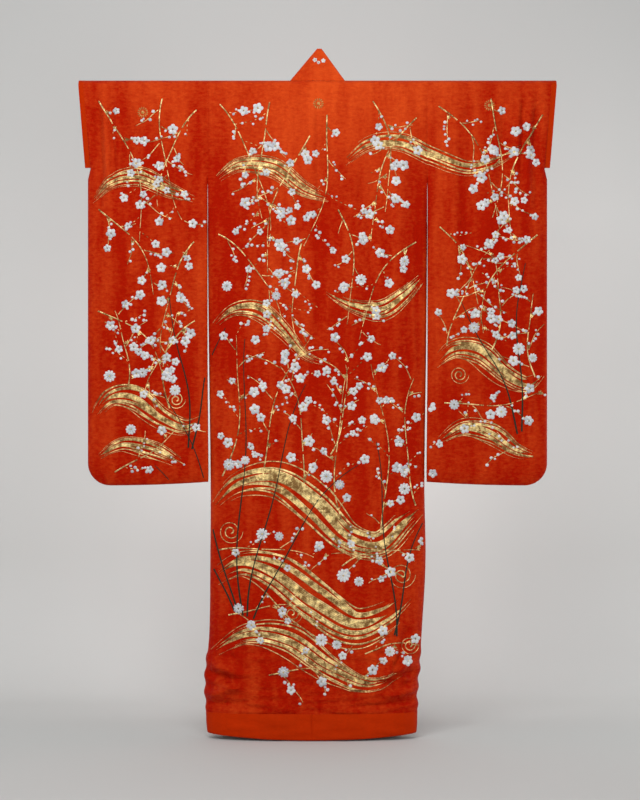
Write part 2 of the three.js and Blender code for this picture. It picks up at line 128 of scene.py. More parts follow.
# Soft folds: straight ridges (rise above 0) and troughs, from one end to the other.
FOLD_COLUMNS = "x drop to_x to_drop breadth rise"
SLEEVE_FOLDS = table(FOLD_COLUMNS, [
    (360, 120, 372, 860, 26, 4.5), (405, 60, 418, 520, 18, -4), (452, 180, 470, 980, 28, 4),
    (505, 60, 512, 430, 18, -4), (545, 90, 556, 760, 24, 4.5), (590, 60, 586, 330, 15, -3.5),
    (335, 10, 345, 240, 9, -1.2), (382, 10, 388, 330, 10, 1.2), (480, 10, 484, 300, 9, 1.2),
    (566, 10, 572, 280, 8, 1.4), (606, 30, 600, 260, 7, 1.2), (594, 20, 584, 300, 5, -2.6),
    (578, 16, 566, 340, 5, 2.2), (562, 14, 548, 280, 5, -2.4), (532, 12, 526, 260, 6, 2.0),
    (430, 12, 440, 420, 6, -1.8), (396, 12, 408, 360, 5, 1.6), (352, 300, 362, 900, 7, -1.6),
    (520, 420, 528, 900, 8, 1.6), (604, 20, 588, 460, 8, -5.0), (584, 24, 566, 380, 7, 4.0),
    (566, 30, 548, 360, 7, -4.6), (548, 20, 534, 300, 7, 3.4), (508, 16, 500, 240, 6, -2.4),
    (340, 240, 352, 620, 6, -2.2), (600, 620, 590, 1040, 8, -2.4), (470, 640, 486, 1060, 9, 2.2),
])
BODY_FOLDS = table(FOLD_COLUMNS, [
    (-232, 160, -222, 1050, 26, 4.5), (-168, 90, -176, 760, 20, -4), (-96, 140, -108, 900, 24, 3.5),
    (66, 120, 58, 700, 22, 3.5), (142, 110, 156, 980, 24, -4), (226, 150, 216, 1150, 26, 4.5),
    (-306, 1570, -190, 1600, 13, 10), (-306, 1597, -220, 1612, 11, -10), (-306, 1660, -196, 1622, 12, 10),
    (-306, 1684, -150, 1668, 10, -7), (-130, 1608, -40, 1618, 14, -4), (268, 1560, 150, 1618, 12, 9),
    (272, 1590, 96, 1640, 10, -8), (272, 1642, 160, 1664, 10, 9), (272, 1672, 60, 1690, 9, -6),
    (60, 1636, 130, 1626, 13, 4), (-306, 1612, -170, 1650, 5, 2.5), (-300, 1642, -90, 1638, 5, -2.2),
    (-250, 1672, -60, 1684, 5, 2.0), (272, 1616, 130, 1598, 5, 2.4), (266, 1655, 20, 1676, 5, -2.0),
    (240, 1548, 170, 1660, 6, 2.2), (-60, 1668, 90, 1660, 6, 1.6), (-300, 1590, -232, 1636, 5, 3.2),
    (-262, 1690, -120, 1696, 4, -2.4), (-288, 1702, -200, 1640, 5, -2.6), (270, 1604, 206, 1650, 5, -3.4),
    (262, 1682, 150, 1694, 4, 2.8), (256, 1632, 196, 1560, 6, 3.0), (236, 1690, 180, 1590, 5, -2.6),
    (30, 1622, 90, 1690, 6, -1.8), (-188, 1560, -150, 1500, 7, -1.8), (244, 1470, 190, 1650, 8, -8),
    (260, 1500, 214, 1630, 7, 6.5), (222, 1530, 150, 1668, 8, 5), (-270, 1500, -200, 1590, 7, -3.4),
    (-14, 40, -12, 420, 6, 2.4), (16, 60, 20, 460, 6, -2.4), (-215, 300, -205, 900, 7, 2.2),
    (-60, 230, -66, 900, 7, -2.2), (100, 200, 108, 820, 7, 2.2), (196, 260, 186, 980, 7, -2.2),
])

# Where the cloth is drawn in by its seams, and the small unevenness of silk that has hung for long.
HUNG_START, HUNG_FULL = 10, 60
FRONT_FOLD_SHARE, FOLDS_END, SLEEVE_FOLDS_FULL = 0.5, 24, 75
FOOT_GROWTH = 80
SEAM_DIP, SEAM_DIP_REACH = 2.0, 3.2
EDGE_WAVE, EDGE_WAVE_PITCH, EDGE_WAVE_TOP, EDGE_WAVE_END = 2.4, 48, 1500, 20
HEM_TAPER, HEM_TAPER_RISE = 0.027, 10
FOOT_CREASES, FOOT_CREASES_TOP = 0.6, 1500
RIPPLES, RIPPLE_RISE, RIPPLE_SEED, RIPPLE_START, RIPPLE_FULL = 26, 0.75, 7, 5, 90
# Each kind's ranges of breadth and of height.
RIPPLE_SIZES = ((28, 130), (60, 420))
BUCKLE_SIZES = ((110, 300), (20, 52))
PUCKER_SIZES = ((12, 30), (90, 300))
BUCKLES, BUCKLE_RISE, BUCKLE_START, BUCKLE_FULL = 14, 1.4, 1240, 1620
PUCKERS, PUCKER_RISE, PUCKER_REACH = 8, 0.6, 24
HEM_DIP, HEM_DIP_REACH = 2.6, 4.5
ARMHOLE_DIP, ARMHOLE_DIP_REACH = 2.2, 4.5


def lerp(a, b, t):
    return a + (b - a) * t


def smoothstep(value, start, end):
    t = np.clip((value - start) / (end - start), 0, 1)
    return t * t * (3 - 2 * t)


def section(column, drop):
    """A column of BODY_SECTIONS at a drop, eased between its rows."""
    at, value = BODY_SECTIONS["drop"], BODY_SECTIONS[column]
    last = len(at) - 1
    k = np.clip(np.searchsorted(at, drop, side="right") - 1, 0, last - 1)
    before, after = np.maximum(k - 1, 0), np.minimum(k + 2, last)
    span = at[k + 1] - at[k]
    t = (drop - at[k]) / span
    slope_in = (value[k + 1] - value[before]) / (at[k + 1] - at[before]) * span
    slope_out = (value[after] - value[k]) / (at[after] - at[k]) * span
    rise = (2 * t**3 - 3 * t**2 + 1) * value[k] + (3 * t**2 - 2 * t**3) * value[k + 1]
    return rise + (t**3 - 2 * t**2 + t) * slope_in + (t**3 - t**2) * slope_out


def fold_rise(folds, x, drop):
    """How far the folds of a table lift the cloth; each fades out over the second half of its length."""
    rise = np.zeros(np.broadcast(x, drop).shape)
    for fold in folds:
        dx, dd = fold["to_x"] - fold["x"], fold["to_drop"] - fold["drop"]
        length = math.hypot(dx, dd)
        along = ((x - fold["x"]) * dx + (drop - fold["drop"]) * dd) / length
        off = ((x - fold["x"]) * dd - (drop - fold["drop"]) * dx) / length
        breadth = fold["breadth"]
        window = smoothstep(along, -breadth, 2 * breadth) * (1 - smoothstep(along, 0.55 * length, length))
        rise = rise + fold["rise"] * window * np.exp(-((off / breadth) ** 2))
    return rise


def waves(rng, count, wide, tall, x, drop):
    """A sum of slanting waves within ranges of breadth and height, the same on every run."""
    rise = 0.0
    for _ in range(count):
        across, down = rng.uniform(*wide), rng.uniform(*tall) * rng.choice((-1, 1))
        rise = rise + np.sin(math.tau * (x / across + drop / down + rng.uniform(0, 1)))
    return rise / math.sqrt(count)


def ripple(x, drop):
    """Upright ripples all over, level buckles above the hem, and fine puckers along its seam."""
    rng = np.random.default_rng(RIPPLE_SEED)
    upright = waves(rng, RIPPLES, *RIPPLE_SIZES, x, drop) * RIPPLE_RISE
    level = waves(rng, BUCKLES, *BUCKLE_SIZES, x, drop) * BUCKLE_RISE
    gathered = waves(rng, PUCKERS, *PUCKER_SIZES, x, drop) * PUCKER_RISE
    near_hem = np.exp(-(((BODY_DROP - drop) / PUCKER_REACH) ** 2))
    rise = upright * smoothstep(drop, RIPPLE_START, RIPPLE_FULL)
    return rise + level * smoothstep(drop, BUCKLE_START, BUCKLE_FULL) + gathered * near_hem


def groove(distance, depth, reach):
    """The narrow dip that a row of sewing draws into the cloth."""
    return depth * np.exp(-((distance / reach) ** 2))


def side_depth(drop):
    """Half the depth at the body's side edges, which close where the side seam starts."""
    return WRAP * np.maximum(0, 1 - (np.maximum(0, drop) / SIDE_OPENING_DROP) ** 2)


def lap(drop):
    """How much further out the left front lies, which laps over the right."""
    return smoothstep(drop, LAP_START, LAP_FULL) * lerp(LAP_UPPER, LAP_HEM, np.clip(drop / HEM_DROP, 0, 1))


def hung(drop):
    """From 0 on the rod to 1 where the cloth hangs free of it."""
    return smoothstep(drop, HUNG_START, HUNG_FULL)


def clear_of_hem(drop, reach):
    """From 1 higher up to 0 at the hem band."""
    return 1 - smoothstep(drop, BODY_DROP - reach, BODY_DROP)


def seam_groove(face, across, drop):
    """The dip of the upright seams: the middle of the back, or the collar's and the overlap's in front."""
    if face == BACK:
        return groove(across, SEAM_DIP, SEAM_DIP_REACH)
    collar_seam = collar_seam_across(drop)
    joined = smoothstep(collar_seam, FRONT_PANEL_ACROSS, FRONT_PANEL_ACROSS - 1)
    return np.maximum(
        groove(across - collar_seam, SEAM_DIP, SEAM_DIP_REACH) * (drop < COLLAR_END_DROP),
        groove(across - FRONT_PANEL_ACROSS, SEAM_DIP, SEAM_DIP_REACH) * joined,
    )


def body_point(face, side, across, drop):
    """The body's middle surface."""
    across, drop = np.broadcast_arrays(np.asarray(across, float), np.asarray(drop, float))
    x, half = section("centre", drop) + side * across, section("half", drop)
    middle = section("back" if face == BACK else "front", drop)
    edge = side_depth(drop)
    outer = middle + np.where((face == FRONT) & (np.asarray(side) == LEFT), lap(drop), 0)
    share = np.clip(np.abs(across) / half, 0, 1)
    swell = (1 - share**3) ** lerp(1, 0.5, smoothstep(drop, ARMHOLE_DROP, SIDE_OPENING_DROP))
    folds = fold_rise(BODY_FOLDS, x if face == BACK else -x, drop) * (1 if face == BACK else FRONT_FOLD_SHARE)
    folds = folds * (1 + FOOT_CREASES * smoothstep(drop, FOOT_CREASES_TOP, FOOT_CREASES_TOP + FOOT_GROWTH))
    # Ridges run on nearly to the side edge, and troughs die out with the swell.
    folds = folds * np.where(folds > 0, 1 - share**9, swell) * clear_of_hem(drop, FOLDS_END)
    small = folds + (ripple(x, drop) - groove(BODY_DROP - drop, HEM_DIP, HEM_DIP_REACH)) * swell
    small = small - groove(half - across, ARMHOLE_DIP, ARMHOLE_DIP_REACH) * edge / WRAP * hung(drop)
    small = small - seam_groove(face, across, drop) * hung(drop)
    waved = smoothstep(drop, EDGE_WAVE_TOP, EDGE_WAVE_TOP + FOOT_GROWTH) * clear_of_hem(drop, EDGE_WAVE_END)
    x = x + side * EDGE_WAVE * waved * share**4 * np.sin(math.tau * drop / EDGE_WAVE_PITCH + side)
    return np.stack([x, face * (edge + (outer - edge) * swell + small), -drop], -1)


def wrap_point(x, face, angle):
    """The cloth where it bends over the rod, at an angle from the top."""
    x, angle = np.broadcast_arrays(np.asarray(x, float), np.asarray(angle, float))
    return np.stack([x, face * WRAP * np.sin(angle), WRAP * np.cos(angle)], -1)


def collar_seam_across(drop):
    return NECK_HALF - COLLAR_SEAM_SLANT * np.maximum(0, drop)


def collar_edge_across(drop):
    return COLLAR_EDGE_ACROSS - COLLAR_EDGE_SLANT * np.maximum(0, drop)


def sleeve_inner(drop):
    parted = FREE_EDGE_TOP * smoothstep(drop, ARMHOLE_DROP, ARMHOLE_DROP + FREE_EDGE_PARTED)
    swung = (FREE_EDGE_FOOT - FREE_EDGE_TOP) * smoothstep(drop, ARMHOLE_DROP, SLEEVE_DROP)
    return section("half", np.maximum(0, drop)) + SEAM_GAP + parted + swung


def sleeve_outer(drop):
    wrist = lerp(WRIST_TOP_EDGE, WRIST_LOW_EDGE, np.clip(drop / WRIST_DROP, 0, 1))
    into = np.maximum(0, drop - (SLEEVE_DROP - SLEEVE_CORNER))
    corner = SLEEVE_CORNER - np.sqrt(np.maximum(0, SLEEVE_CORNER**2 - into**2))
    below = lerp(WRIST_LOW_EDGE, SLEEVE_EDGE, smoothstep(drop, WRIST_DROP, WRIST_DROP + WRIST_EASE)) - corner
    return np.where(drop <= WRIST_DROP, wrist, below)


def round_up(distance, reach):
    """From 0 at a rounded edge to 1 where the rounding ends."""
    return np.sqrt(1 - (1 - np.clip(distance / reach, 0, 1)) ** 2)


def sleeve_depth(share, drop):
    """How far each layer of a sleeve stands off its middle, which closes at the sewn edges and the foot."""
    width = sleeve_outer(drop) - sleeve_inner(drop)
    opening = np.sqrt(np.clip(1 - drop / WRIST_DROP, 0, 1))
    middle = lerp(WRAP, DEPTH_UPPER, smoothstep(drop, 0, ARMHOLE_DROP))
    freed = smoothstep(drop, ARMHOLE_DROP, DEPTH_FREE_DROP)
    free = lerp(side_depth(np.minimum(drop, ARMHOLE_DROP)), DEPTH_FREE, freed)
    across = lerp(free, middle, smoothstep(share, 0, INNER_SHARE))
    outer_edge = lerp(round_up((1 - share) * width, EDGE_ROUND), 1, opening)
    return across * outer_edge * round_up(SLEEVE_DROP - drop, FOOT_ROUND)


def room_at_foot(drop):
    """From 1 where a sleeve hangs free to 0 where its foot closes."""
    return hung(drop) * (1 - smoothstep(drop, SLEEVE_DROP - 2 * FOOT_ROUND, SLEEVE_DROP - FOOT_ROUND))


def sleeve_point(face, side, share, drop):
    """The sleeve's middle surface, at a share of its width."""
    share, drop = np.broadcast_arrays(np.asarray(share, float), np.asarray(drop, float))
    across = lerp(sleeve_inner(drop), sleeve_outer(drop), share)
    depth = sleeve_depth(share, drop)
    room = np.minimum(1, depth / DEPTH_UPPER) * np.minimum(1, share / SMALL_FOLD_SHARE)
    small = fold_rise(SLEEVE_FOLDS, across, drop) + ripple(side * across, drop)
    depth = depth - groove(across - sleeve_inner(drop), ARMHOLE_DIP, ARMHOLE_DIP_REACH) * room_at_foot(drop)
    z = -drop * (1 - SLEEVE_FREE_LIFT * (1 - share) ** 2)
    small = small * room * smoothstep(drop, HUNG_START, SLEEVE_FOLDS_FULL)
    return np.stack([side * across, face * (depth + small), z], -1)


# ---- Meshes ----------------------------------------------------------------------------------------------
def unit(vectors):
    return vectors / np.maximum(np.linalg.norm(vectors, axis=-1, keepdims=True), 1e-9)


def vertex_normals(points, quads):
    corner = points[quads]
    facing = np.cross(corner[:, 2] - corner[:, 0], corner[:, 3] - corner[:, 1])
    normals = np.zeros_like(points)
    for i in range(4):
        np.add.at(normals, quads[:, i], facing)
    return normals


class Sheet:
    """A cloth's middle surface, gathered in patches, welded where they meet, and thickened to a wall."""

    def __init__(self):
        self.points, self.quads, self.count = [], [], 0

    def patch(self, grid, flip, keep=None):
        rows, columns = grid.shape[:2]
        index = np.arange(rows * columns).reshape(rows, columns) + self.count
        corners = [index[:-1, :-1], index[:-1, 1:], index[1:, 1:], index[1:, :-1]]
        quads = np.stack(corners if flip else corners[:1] + corners[:0:-1], -1)
        self.quads.append(quads[keep] if keep is not None else quads.reshape(-1, 4))
        self.points.append(grid.reshape(-1, 3))
        self.count += rows * columns
        return self

    def thicken(self, wall):
        points, quads = np.concatenate(self.points), np.concatenate(self.quads)
        used, quads = np.unique(quads, return_inverse=True)
        # Adding 0.0 makes -0.0 the same place as 0.0.
        points, quads = points[used], quads.reshape(-1, 4)
        _, first, same = np.unique(np.round(points, 3) + 0.0, axis=0, return_index=True, return_inverse=True)
        points, quads = points[first], same.reshape(-1)[quads]
        normals = vertex_normals(points, quads)
        count = len(points)
        # A rim edge is one that no other quad runs the other way. Straight rims stay in their own plane.
        starts, ends = quads.reshape(-1), np.roll(quads, -1, axis=1).reshape(-1)
        real = starts != ends
        starts, ends = starts[real], ends[real]
        rim = ~np.isin(starts * count + ends, ends * count + starts)
        starts, ends = starts[rim], ends[rim]
        run = np.abs(points[ends] - points[starts])
        low_enough = (points[starts][:, 2] <= 0) & (points[ends][:, 2] <= 0)
        upright = run[:, 2] > run[:, 0]
        for chosen, axis in ((low_enough & upright, 0), (low_enough & ~upright, 2)):
            normals[starts[chosen], axis] = 0
            normals[ends[chosen], axis] = 0
        normals = unit(normals)
        sides = np.concatenate([points + normals * wall / 2, points - normals * wall / 2])
        edging = np.stack([starts, starts + count, ends + count, ends], -1)
        faces = np.concatenate([quads, quads[:, ::-1] + count, edging])
        slots = np.repeat([0, 1, 0], [len(quads), len(quads), len(edging)])
        return sides, faces, slots


def add_mesh(name, points, faces, materials, slots=None, sharp=50):
    """A smooth mesh object from points in millimetres, left in the frame's place."""
    mesh = bpy.data.meshes.new(name)
    if hasattr(faces, "shape"):
        # A quad whose corners were welded becomes a triangle.
        faces = [list(dict.fromkeys(face)) for face in faces.tolist()]
    mesh.from_pydata((np.asarray(points) * MM).tolist(), [], faces)
    for made in materials:
        mesh.materials.append(made)
    if slots is not None:
        mesh.polygons.foreach_set("material_index", np.asarray(slots, np.int32))
    mesh.shade_smooth()
    mesh.set_sharp_from_angle(angle=math.radians(sharp))
    mesh.validate()
    piece = bpy.data.objects.new(name, mesh)
    bpy.context.scene.collection.objects.link(piece)
    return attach(piece, "root")


def spaced(*stretches):
    """Rows of a grid: (start, end, step) for each stretch, with the last end at the end."""
    rows = [np.linspace(a, b, max(2, round((b - a) / step) + 1))[:-1] for a, b, step in stretches]
    return np.concatenate([*rows, [stretches[-1][1]]])


def crowded(count, power):
    """Shares from 0 to 1 that lie closer together towards 1."""
    return 1 - (1 - np.linspace(0, 1, count)) ** power


WRAP_ANGLES = np.radians(np.linspace(0, 78.75, 8))
NECK_ROW = 2
NECK_ANGLE = WRAP_ANGLES[NECK_ROW]
BODY_ROWS = spaced((0, 60, 7.5), (60, 1250, 14), (1250, BODY_DROP - SEAM_GAP, 4.6))
NECK_COLUMNS = 10
SIDE_SHARES = crowded(41, 1.6)


def two_layers(rows, side, wall):
    """A sheet whose back and front layers are made alike and meet over the rod."""
    return Sheet().patch(rows(BACK), side == LEFT).patch(rows(FRONT), side == RIGHT).thicken(wall)


def body_panel(side):
    """One length of silk from the back hem over the shoulder to the front hem."""

    def back_across(drop):
        neck = np.linspace(0, NECK_HALF, NECK_COLUMNS + 1)[:-1]
        return np.concatenate([neck, lerp(NECK_HALF, section("half", drop), SIDE_SHARES)])

    def front_across(drop):
        inner = max(FRONT_PANEL_ACROSS, collar_seam_across(drop))
        return lerp(inner, section("half", drop), SIDE_SHARES)

    def rows(face, across_at):
        over = [wrap_point(side * across_at(0.0), face, angle) for angle in WRAP_ANGLES]
        return np.array(over + [body_point(face, side, across_at(drop), drop) for drop in BODY_ROWS])

    back, front = rows(BACK, back_across), rows(FRONT, front_across)
    keep = np.ones((len(back) - 1, back.shape[1] - 1), bool)
    keep[:NECK_ROW, :NECK_COLUMNS] = False
    return Sheet().patch(back, side == LEFT, keep).patch(front, side == RIGHT).thicken(SILK_WALL)


def overlap_panel(side):
    """The panel that widens the front past the centre, cut off above by the collar's seam."""
    top = (NECK_HALF - FRONT_PANEL_ACROSS) / COLLAR_SEAM_SLANT
    drops = spaced((top, COLLAR_END_DROP, 16), (COLLAR_END_DROP, 1520, 14), (1520, BODY_DROP - SEAM_GAP, 4))
    seam, edge = FRONT_PANEL_ACROSS - SEAM_GAP, collar_edge_across(COLLAR_END_DROP)
    inner = 6

    def across_at(drop):
        stop = min(seam, collar_seam_across(min(drop, COLLAR_END_DROP)))
        return np.concatenate([np.linspace(seam, stop, inner + 1), np.linspace(stop, edge, 11)[1:]])

    grid = np.array([body_point(FRONT, side, across_at(drop), drop) for drop in drops])
    keep = np.ones((len(grid) - 1, grid.shape[1] - 1), bool)
    keep[drops[:-1] < COLLAR_END_DROP - 1e-6, inner:] = False
    return Sheet().patch(grid, side == LEFT, keep).thicken(SILK_WALL)


def collar_band():
    """One band up the left front, round the neck to a peak behind, and down the right front."""
    shares = np.linspace(0, 1, 13)[:, None]
    drops = spaced((0, 90, 9), (90, COLLAR_END_DROP - SEAM_GAP, 14))[::-1]

    def edge_at(side, t):
        start = body_point(FRONT, side, COLLAR_EDGE_ACROSS, 0.0)
        end = COLLAR_PEAK + [side * COLLAR_PEAK_HALF, 0, 0]
        bend = np.array([side * COLLAR_EDGE_ACROSS, COLLAR_BULGE, COLLAR_PEAK[2] * COLLAR_BEND_SHARE])
        return (1 - t) ** 2 * start + 2 * t * (1 - t) * bend + t**2 * end

    def ruled(seam, edge):
        start = seam + (edge - seam) / np.linalg.norm(edge - seam) * (COLLAR_WALL / 2 + SEAM_GAP)
        return start + (edge - start) * shares

    def half(side):
        fronts = [
            body_point(
                FRONT, side, lerp(collar_seam_across(d) - SEAM_GAP, collar_edge_across(d), shares[:, 0]), d
            )
            for d in drops
        ]
        neck_x = side * (NECK_HALF - SEAM_GAP)
        turns = [(FRONT, angle) for angle in WRAP_ANGLES[:0:-1]] + [(BACK, 0.0)]
        turns += [(BACK, angle) for angle in WRAP_ANGLES[1:NECK_ROW]]
        steps = len(turns) - NECK_ROW + 1
        overs = [
            ruled(wrap_point(neck_x, face, angle), edge_at(side, min(1, (i + 1) / steps)))
            for i, (face, angle) in enumerate(turns)
        ]
        behind = [
            ruled(
                wrap_point(neck_x * share, BACK, NECK_ANGLE),
                COLLAR_PEAK
                + [side * COLLAR_PEAK_HALF * COLLAR_BEHIND_SHARE * share, -COLLAR_PEAK_BACK, share * -0.2],
            )
            for share in np.linspace(1, 0, 10)[:-1]
        ]
        return fronts + overs + behind

    middle = [ruled(wrap_point(0.0, BACK, NECK_ANGLE), COLLAR_PEAK + [0, -COLLAR_PEAK_BACK, 0.6])]
    return Sheet().patch(np.array(half(LEFT) + middle + half(RIGHT)[::-1]), False).thicken(COLLAR_WALL)


SLEEVE_SHARES = crowded(61, 1.3)
CORNER_ROWS = SLEEVE_DROP - SLEEVE_CORNER + SLEEVE_CORNER * np.sin(np.radians(np.linspace(0, 90, 13)))
SLEEVE_ROWS = np.concatenate(
    [spaced((0, WRIST_DROP, 9), (WRIST_DROP, SLEEVE_DROP - SLEEVE_CORNER, 14))[:-1], CORNER_ROWS]
)


def sleeve(side):
    """One length folded over the rod, sewn at the armhole, below the wrist opening and round the foot."""
    across = lerp(sleeve_inner(0.0), sleeve_outer(0.0), SLEEVE_SHARES)

    def rows(face):
        over = [wrap_point(side * across, face, angle) for angle in WRAP_ANGLES]
        return np.array(over + [sleeve_point(face, side, SLEEVE_SHARES, drop) for drop in SLEEVE_ROWS])

    return two_layers(rows, side, SILK_WALL)


def cuff_binding(side):
    """The narrow strip that binds the wrist opening."""
    drops = spaced((0, CUFF_DROP, 9))
    widths = np.array([SEAM_GAP, CUFF_WIDTH * 0.3, CUFF_WIDTH * 0.7, CUFF_WIDTH])

    def rows(face):
        strip = [wrap_point(side * (sleeve_outer(0.0) + widths), face, angle) for angle in WRAP_ANGLES]
        for drop in drops:
            x, depth, z = np.broadcast_arrays(
                side * (sleeve_outer(drop) + widths), sleeve_point(face, side, 1.0, drop)[1], -drop
            )
            strip.append(np.stack([x, depth, z], -1))
        return np.array(strip)

    return two_layers(rows, side, CUFF_WALL)


def hem_band(side):
    """The wadded band at the foot: a soft roll, thickest at its lower edge, with closed ends."""
    edge = collar_edge_across(COLLAR_END_DROP)
    width = section("half", BODY_DROP)
    shares = crowded(45, 1.6)
    near_seam = np.array([SEAM_GAP / 2, *HEM_SEAM_STATIONS]) / width
    shares = np.concatenate([near_seam, shares[shares * width > HEM_SEAM_STATIONS[-1] + 1]])
    stations = [(BACK, share * width) for share in shares]
    stations += [(FRONT, share * width) for share in shares[-2:0:-1] if share * width > edge]
    stations += [(FRONT, across) for across in np.linspace(0, edge, 8)]
    turn = np.radians(np.linspace(180, 0, 9))
    loops = []
    for face, across in stations:
        share = abs(across) / width
        foot = HEM_DROP - HEM_RISE * share**2
        level = lerp(BODY_DROP, foot - HEM_HALF, HEM_LEVELS)
        half = lerp(HEM_HALF_TOP, HEM_HALF, smoothstep(HEM_LEVELS, 0, HEM_FULL_SHARE))
        half = half - groove(across, HEM_SEAM_DIP, SEAM_DIP_REACH)
        drops = np.concatenate([level, foot - HEM_HALF + HEM_HALF * np.sin(turn[1:-1]), level[::-1]])
        offset = np.concatenate([half, -HEM_HALF * np.cos(turn[1:-1]), -half[::-1]])
        narrowed = 1 - HEM_TAPER * smoothstep(drops, BODY_DROP - HEM_TAPER_RISE, foot)
        middle = body_point(face, side, across * narrowed, drops)
        nearby = body_point(face, side, (across * 0.995 + 0.01) * narrowed, drops)
        along = unit((nearby - middle)[:, :2])
        outward = np.stack([along[:, 1], -along[:, 0]], -1)
        facing = np.sign(outward[:, 1]) * face
        if share > 0.999:  # At the side edge the roll faces sideways.
            outward, facing = np.array([[side, 0.0]]), 1
        middle[:, :2] += outward * np.reshape(facing, (-1, 1)) * offset[:, None]
        loops.append(middle)
    grid = np.array(loops)
    rows, columns = grid.shape[:2]
    index = np.arange(rows * columns).reshape(rows, columns)
    onward = np.roll(index, -1, axis=1)
    quads = np.stack([index[:-1], onward[:-1], onward[1:], index[1:]], -1).reshape(-1, 4)
    faces = quads.tolist() + [index[0][::-1].tolist(), index[-1].tolist()]
    if side == RIGHT:
        faces = [face[::-1] for face in faces]
    return grid.reshape(-1, 3), faces


# ---- Materials -------------------------------------------------------------------------------------------
def feed(group, socket, value):
    """Links a socket to another one, or gives it a number or a colour."""
    if isinstance(value, bpy.types.NodeSocket):
        group.links.new(value, socket)
    else:
        socket.default_value = value


def math_node(group, operation, *values, clamp=False):
    node = group.nodes.new("ShaderNodeMath")
    node.operation, node.use_clamp = operation, clamp
    for socket, value in zip(node.inputs, values):
        feed(group, socket, value)
    return node.outputs[0]


def summed(group, *terms):
    """The sum of sockets, each times a weight."""
    total = 0.0
    for socket, weight in terms:
        total = math_node(group, "MULTIPLY_ADD", socket, weight, total)
    return total


def noise(group, vector, scale, detail, stretch=(1, 1, 1), grit=0.5):
    """Noise over the object's own place, drawn out along some axes; grit strengthens its finest grains."""
    mapping, texture = group.nodes.new("ShaderNodeMapping"), group.nodes.new("ShaderNodeTexNoise")
    feed(group, mapping.inputs["Vector"], vector)
    feed(group, mapping.inputs["Scale"], stretch)
    values = {"Vector": mapping.outputs[0], "Scale": scale, "Detail": detail, "Roughness": grit}
    for label, value in values.items():
        feed(group, texture.inputs[label], value)
    return texture.outputs["Fac"]


def mixed(group, factor, first, second):
    mix = group.nodes.new("ShaderNodeMix")
    mix.data_type = "RGBA"
    for socket, value in zip((mix.inputs[0], mix.inputs[6], mix.inputs[7]), (factor, first, second)):
        feed(group, socket, value)
    return mix.outputs[2]


def effect_group(name, colour, worn_colour, setting, strength):
    """A shader group with two colours and a number going in, and colour, roughness and height coming out."""
    group = bpy.data.node_groups.new(name, "ShaderNodeTree")
    inputs = (
        ("Colour", "NodeSocketColor", colour),
        ("Worn and painted-light colour", "NodeSocketColor", worn_colour),
        (setting, "NodeSocketFloat", strength),
    )
    for label, kind, value in inputs:
        group.interface.new_socket(label, in_out="INPUT", socket_type=kind).default_value = value
    outputs = {"Colour": "NodeSocketColor", "Roughness": "NodeSocketFloat", "Height": "NodeSocketFloat"}
    for label, kind in outputs.items():
        group.interface.new_socket(label, in_out="OUTPUT", socket_type=kind)
    inside, outside = group.nodes.new("NodeGroupInput"), group.nodes.new("NodeGroupOutput")

    def put_out(worn_and_painted_light, roughness, height):
        shade = mixed(group, worn_and_painted_light, inside.outputs["Colour"], inside.outputs["Worn and painted-light colour"])
        for label, value in zip(outputs, (shade, roughness, height)):
            group.links.new(value, outside.inputs[label])
        return group

    place = group.nodes.new("ShaderNodeTexCoord").outputs["Object"]
    return group, place, inside.outputs[setting], put_out


def silk_group():
    """Crinkled silk: cloudy colour with painted light high up in the middle, a soft uneven shine and the
    height of crinkles and weave.
    """
    group, place, strength, put_out = effect_group(
        "Crinkled silk", (0.6, 0.05, 0.02, 1), (0.7, 0.12, 0.05, 1), "Crinkle", 1.0
    )
    cloud = noise(group, place, 5, 4, (1, 1, 0.6))
    streak = noise(group, place, 26, 4, (1, 1, 0.25))
    pleat = noise(group, place, 30, 3, (1, 1, 0.06))
    crinkle = noise(group, place, 120, 4, (0.7, 0.8, 1.1), 0.62)
    slub = noise(group, place, 520, 2, (0.12, 0.3, 1), 0.6)
    # Painted light: the silk is painted lighter high up and near the middle, where the light falls strongest.
    axes = group.nodes.new("ShaderNodeSeparateXYZ")
    group.links.new(place, axes.inputs[0])
    higher = math_node(group, "MULTIPLY_ADD", axes.outputs["Z"], 2.0, 0.85)
    aside = math_node(group, "ABSOLUTE", axes.outputs["X"])
    painted_lighter = math_node(group, "MULTIPLY_ADD", aside, -1.1, higher, clamp=True)
    tone = summed(group, (cloud, 0.9), (streak, 0.6), (pleat, 0.7), (crinkle, 0.8), (slub, 0.4), (painted_lighter, 0.5))
    # Where this mix is high the silk takes its rubbed colour: random mottling, and painted light high up in
    # the middle.
    worn_and_painted_light = math_node(group, "MULTIPLY_ADD", tone, 1.25, -1.93, clamp=True)
    roughness = math_node(group, "MULTIPLY_ADD", streak, 0.3, 0.32)
    fine = math_node(group, "MULTIPLY", summed(group, (crinkle, 1.0), (slub, 0.25)), strength)
    return put_out(worn_and_painted_light, roughness, summed(group, (fine, 1.0), (streak, 0.8), (pleat, 1.8)))


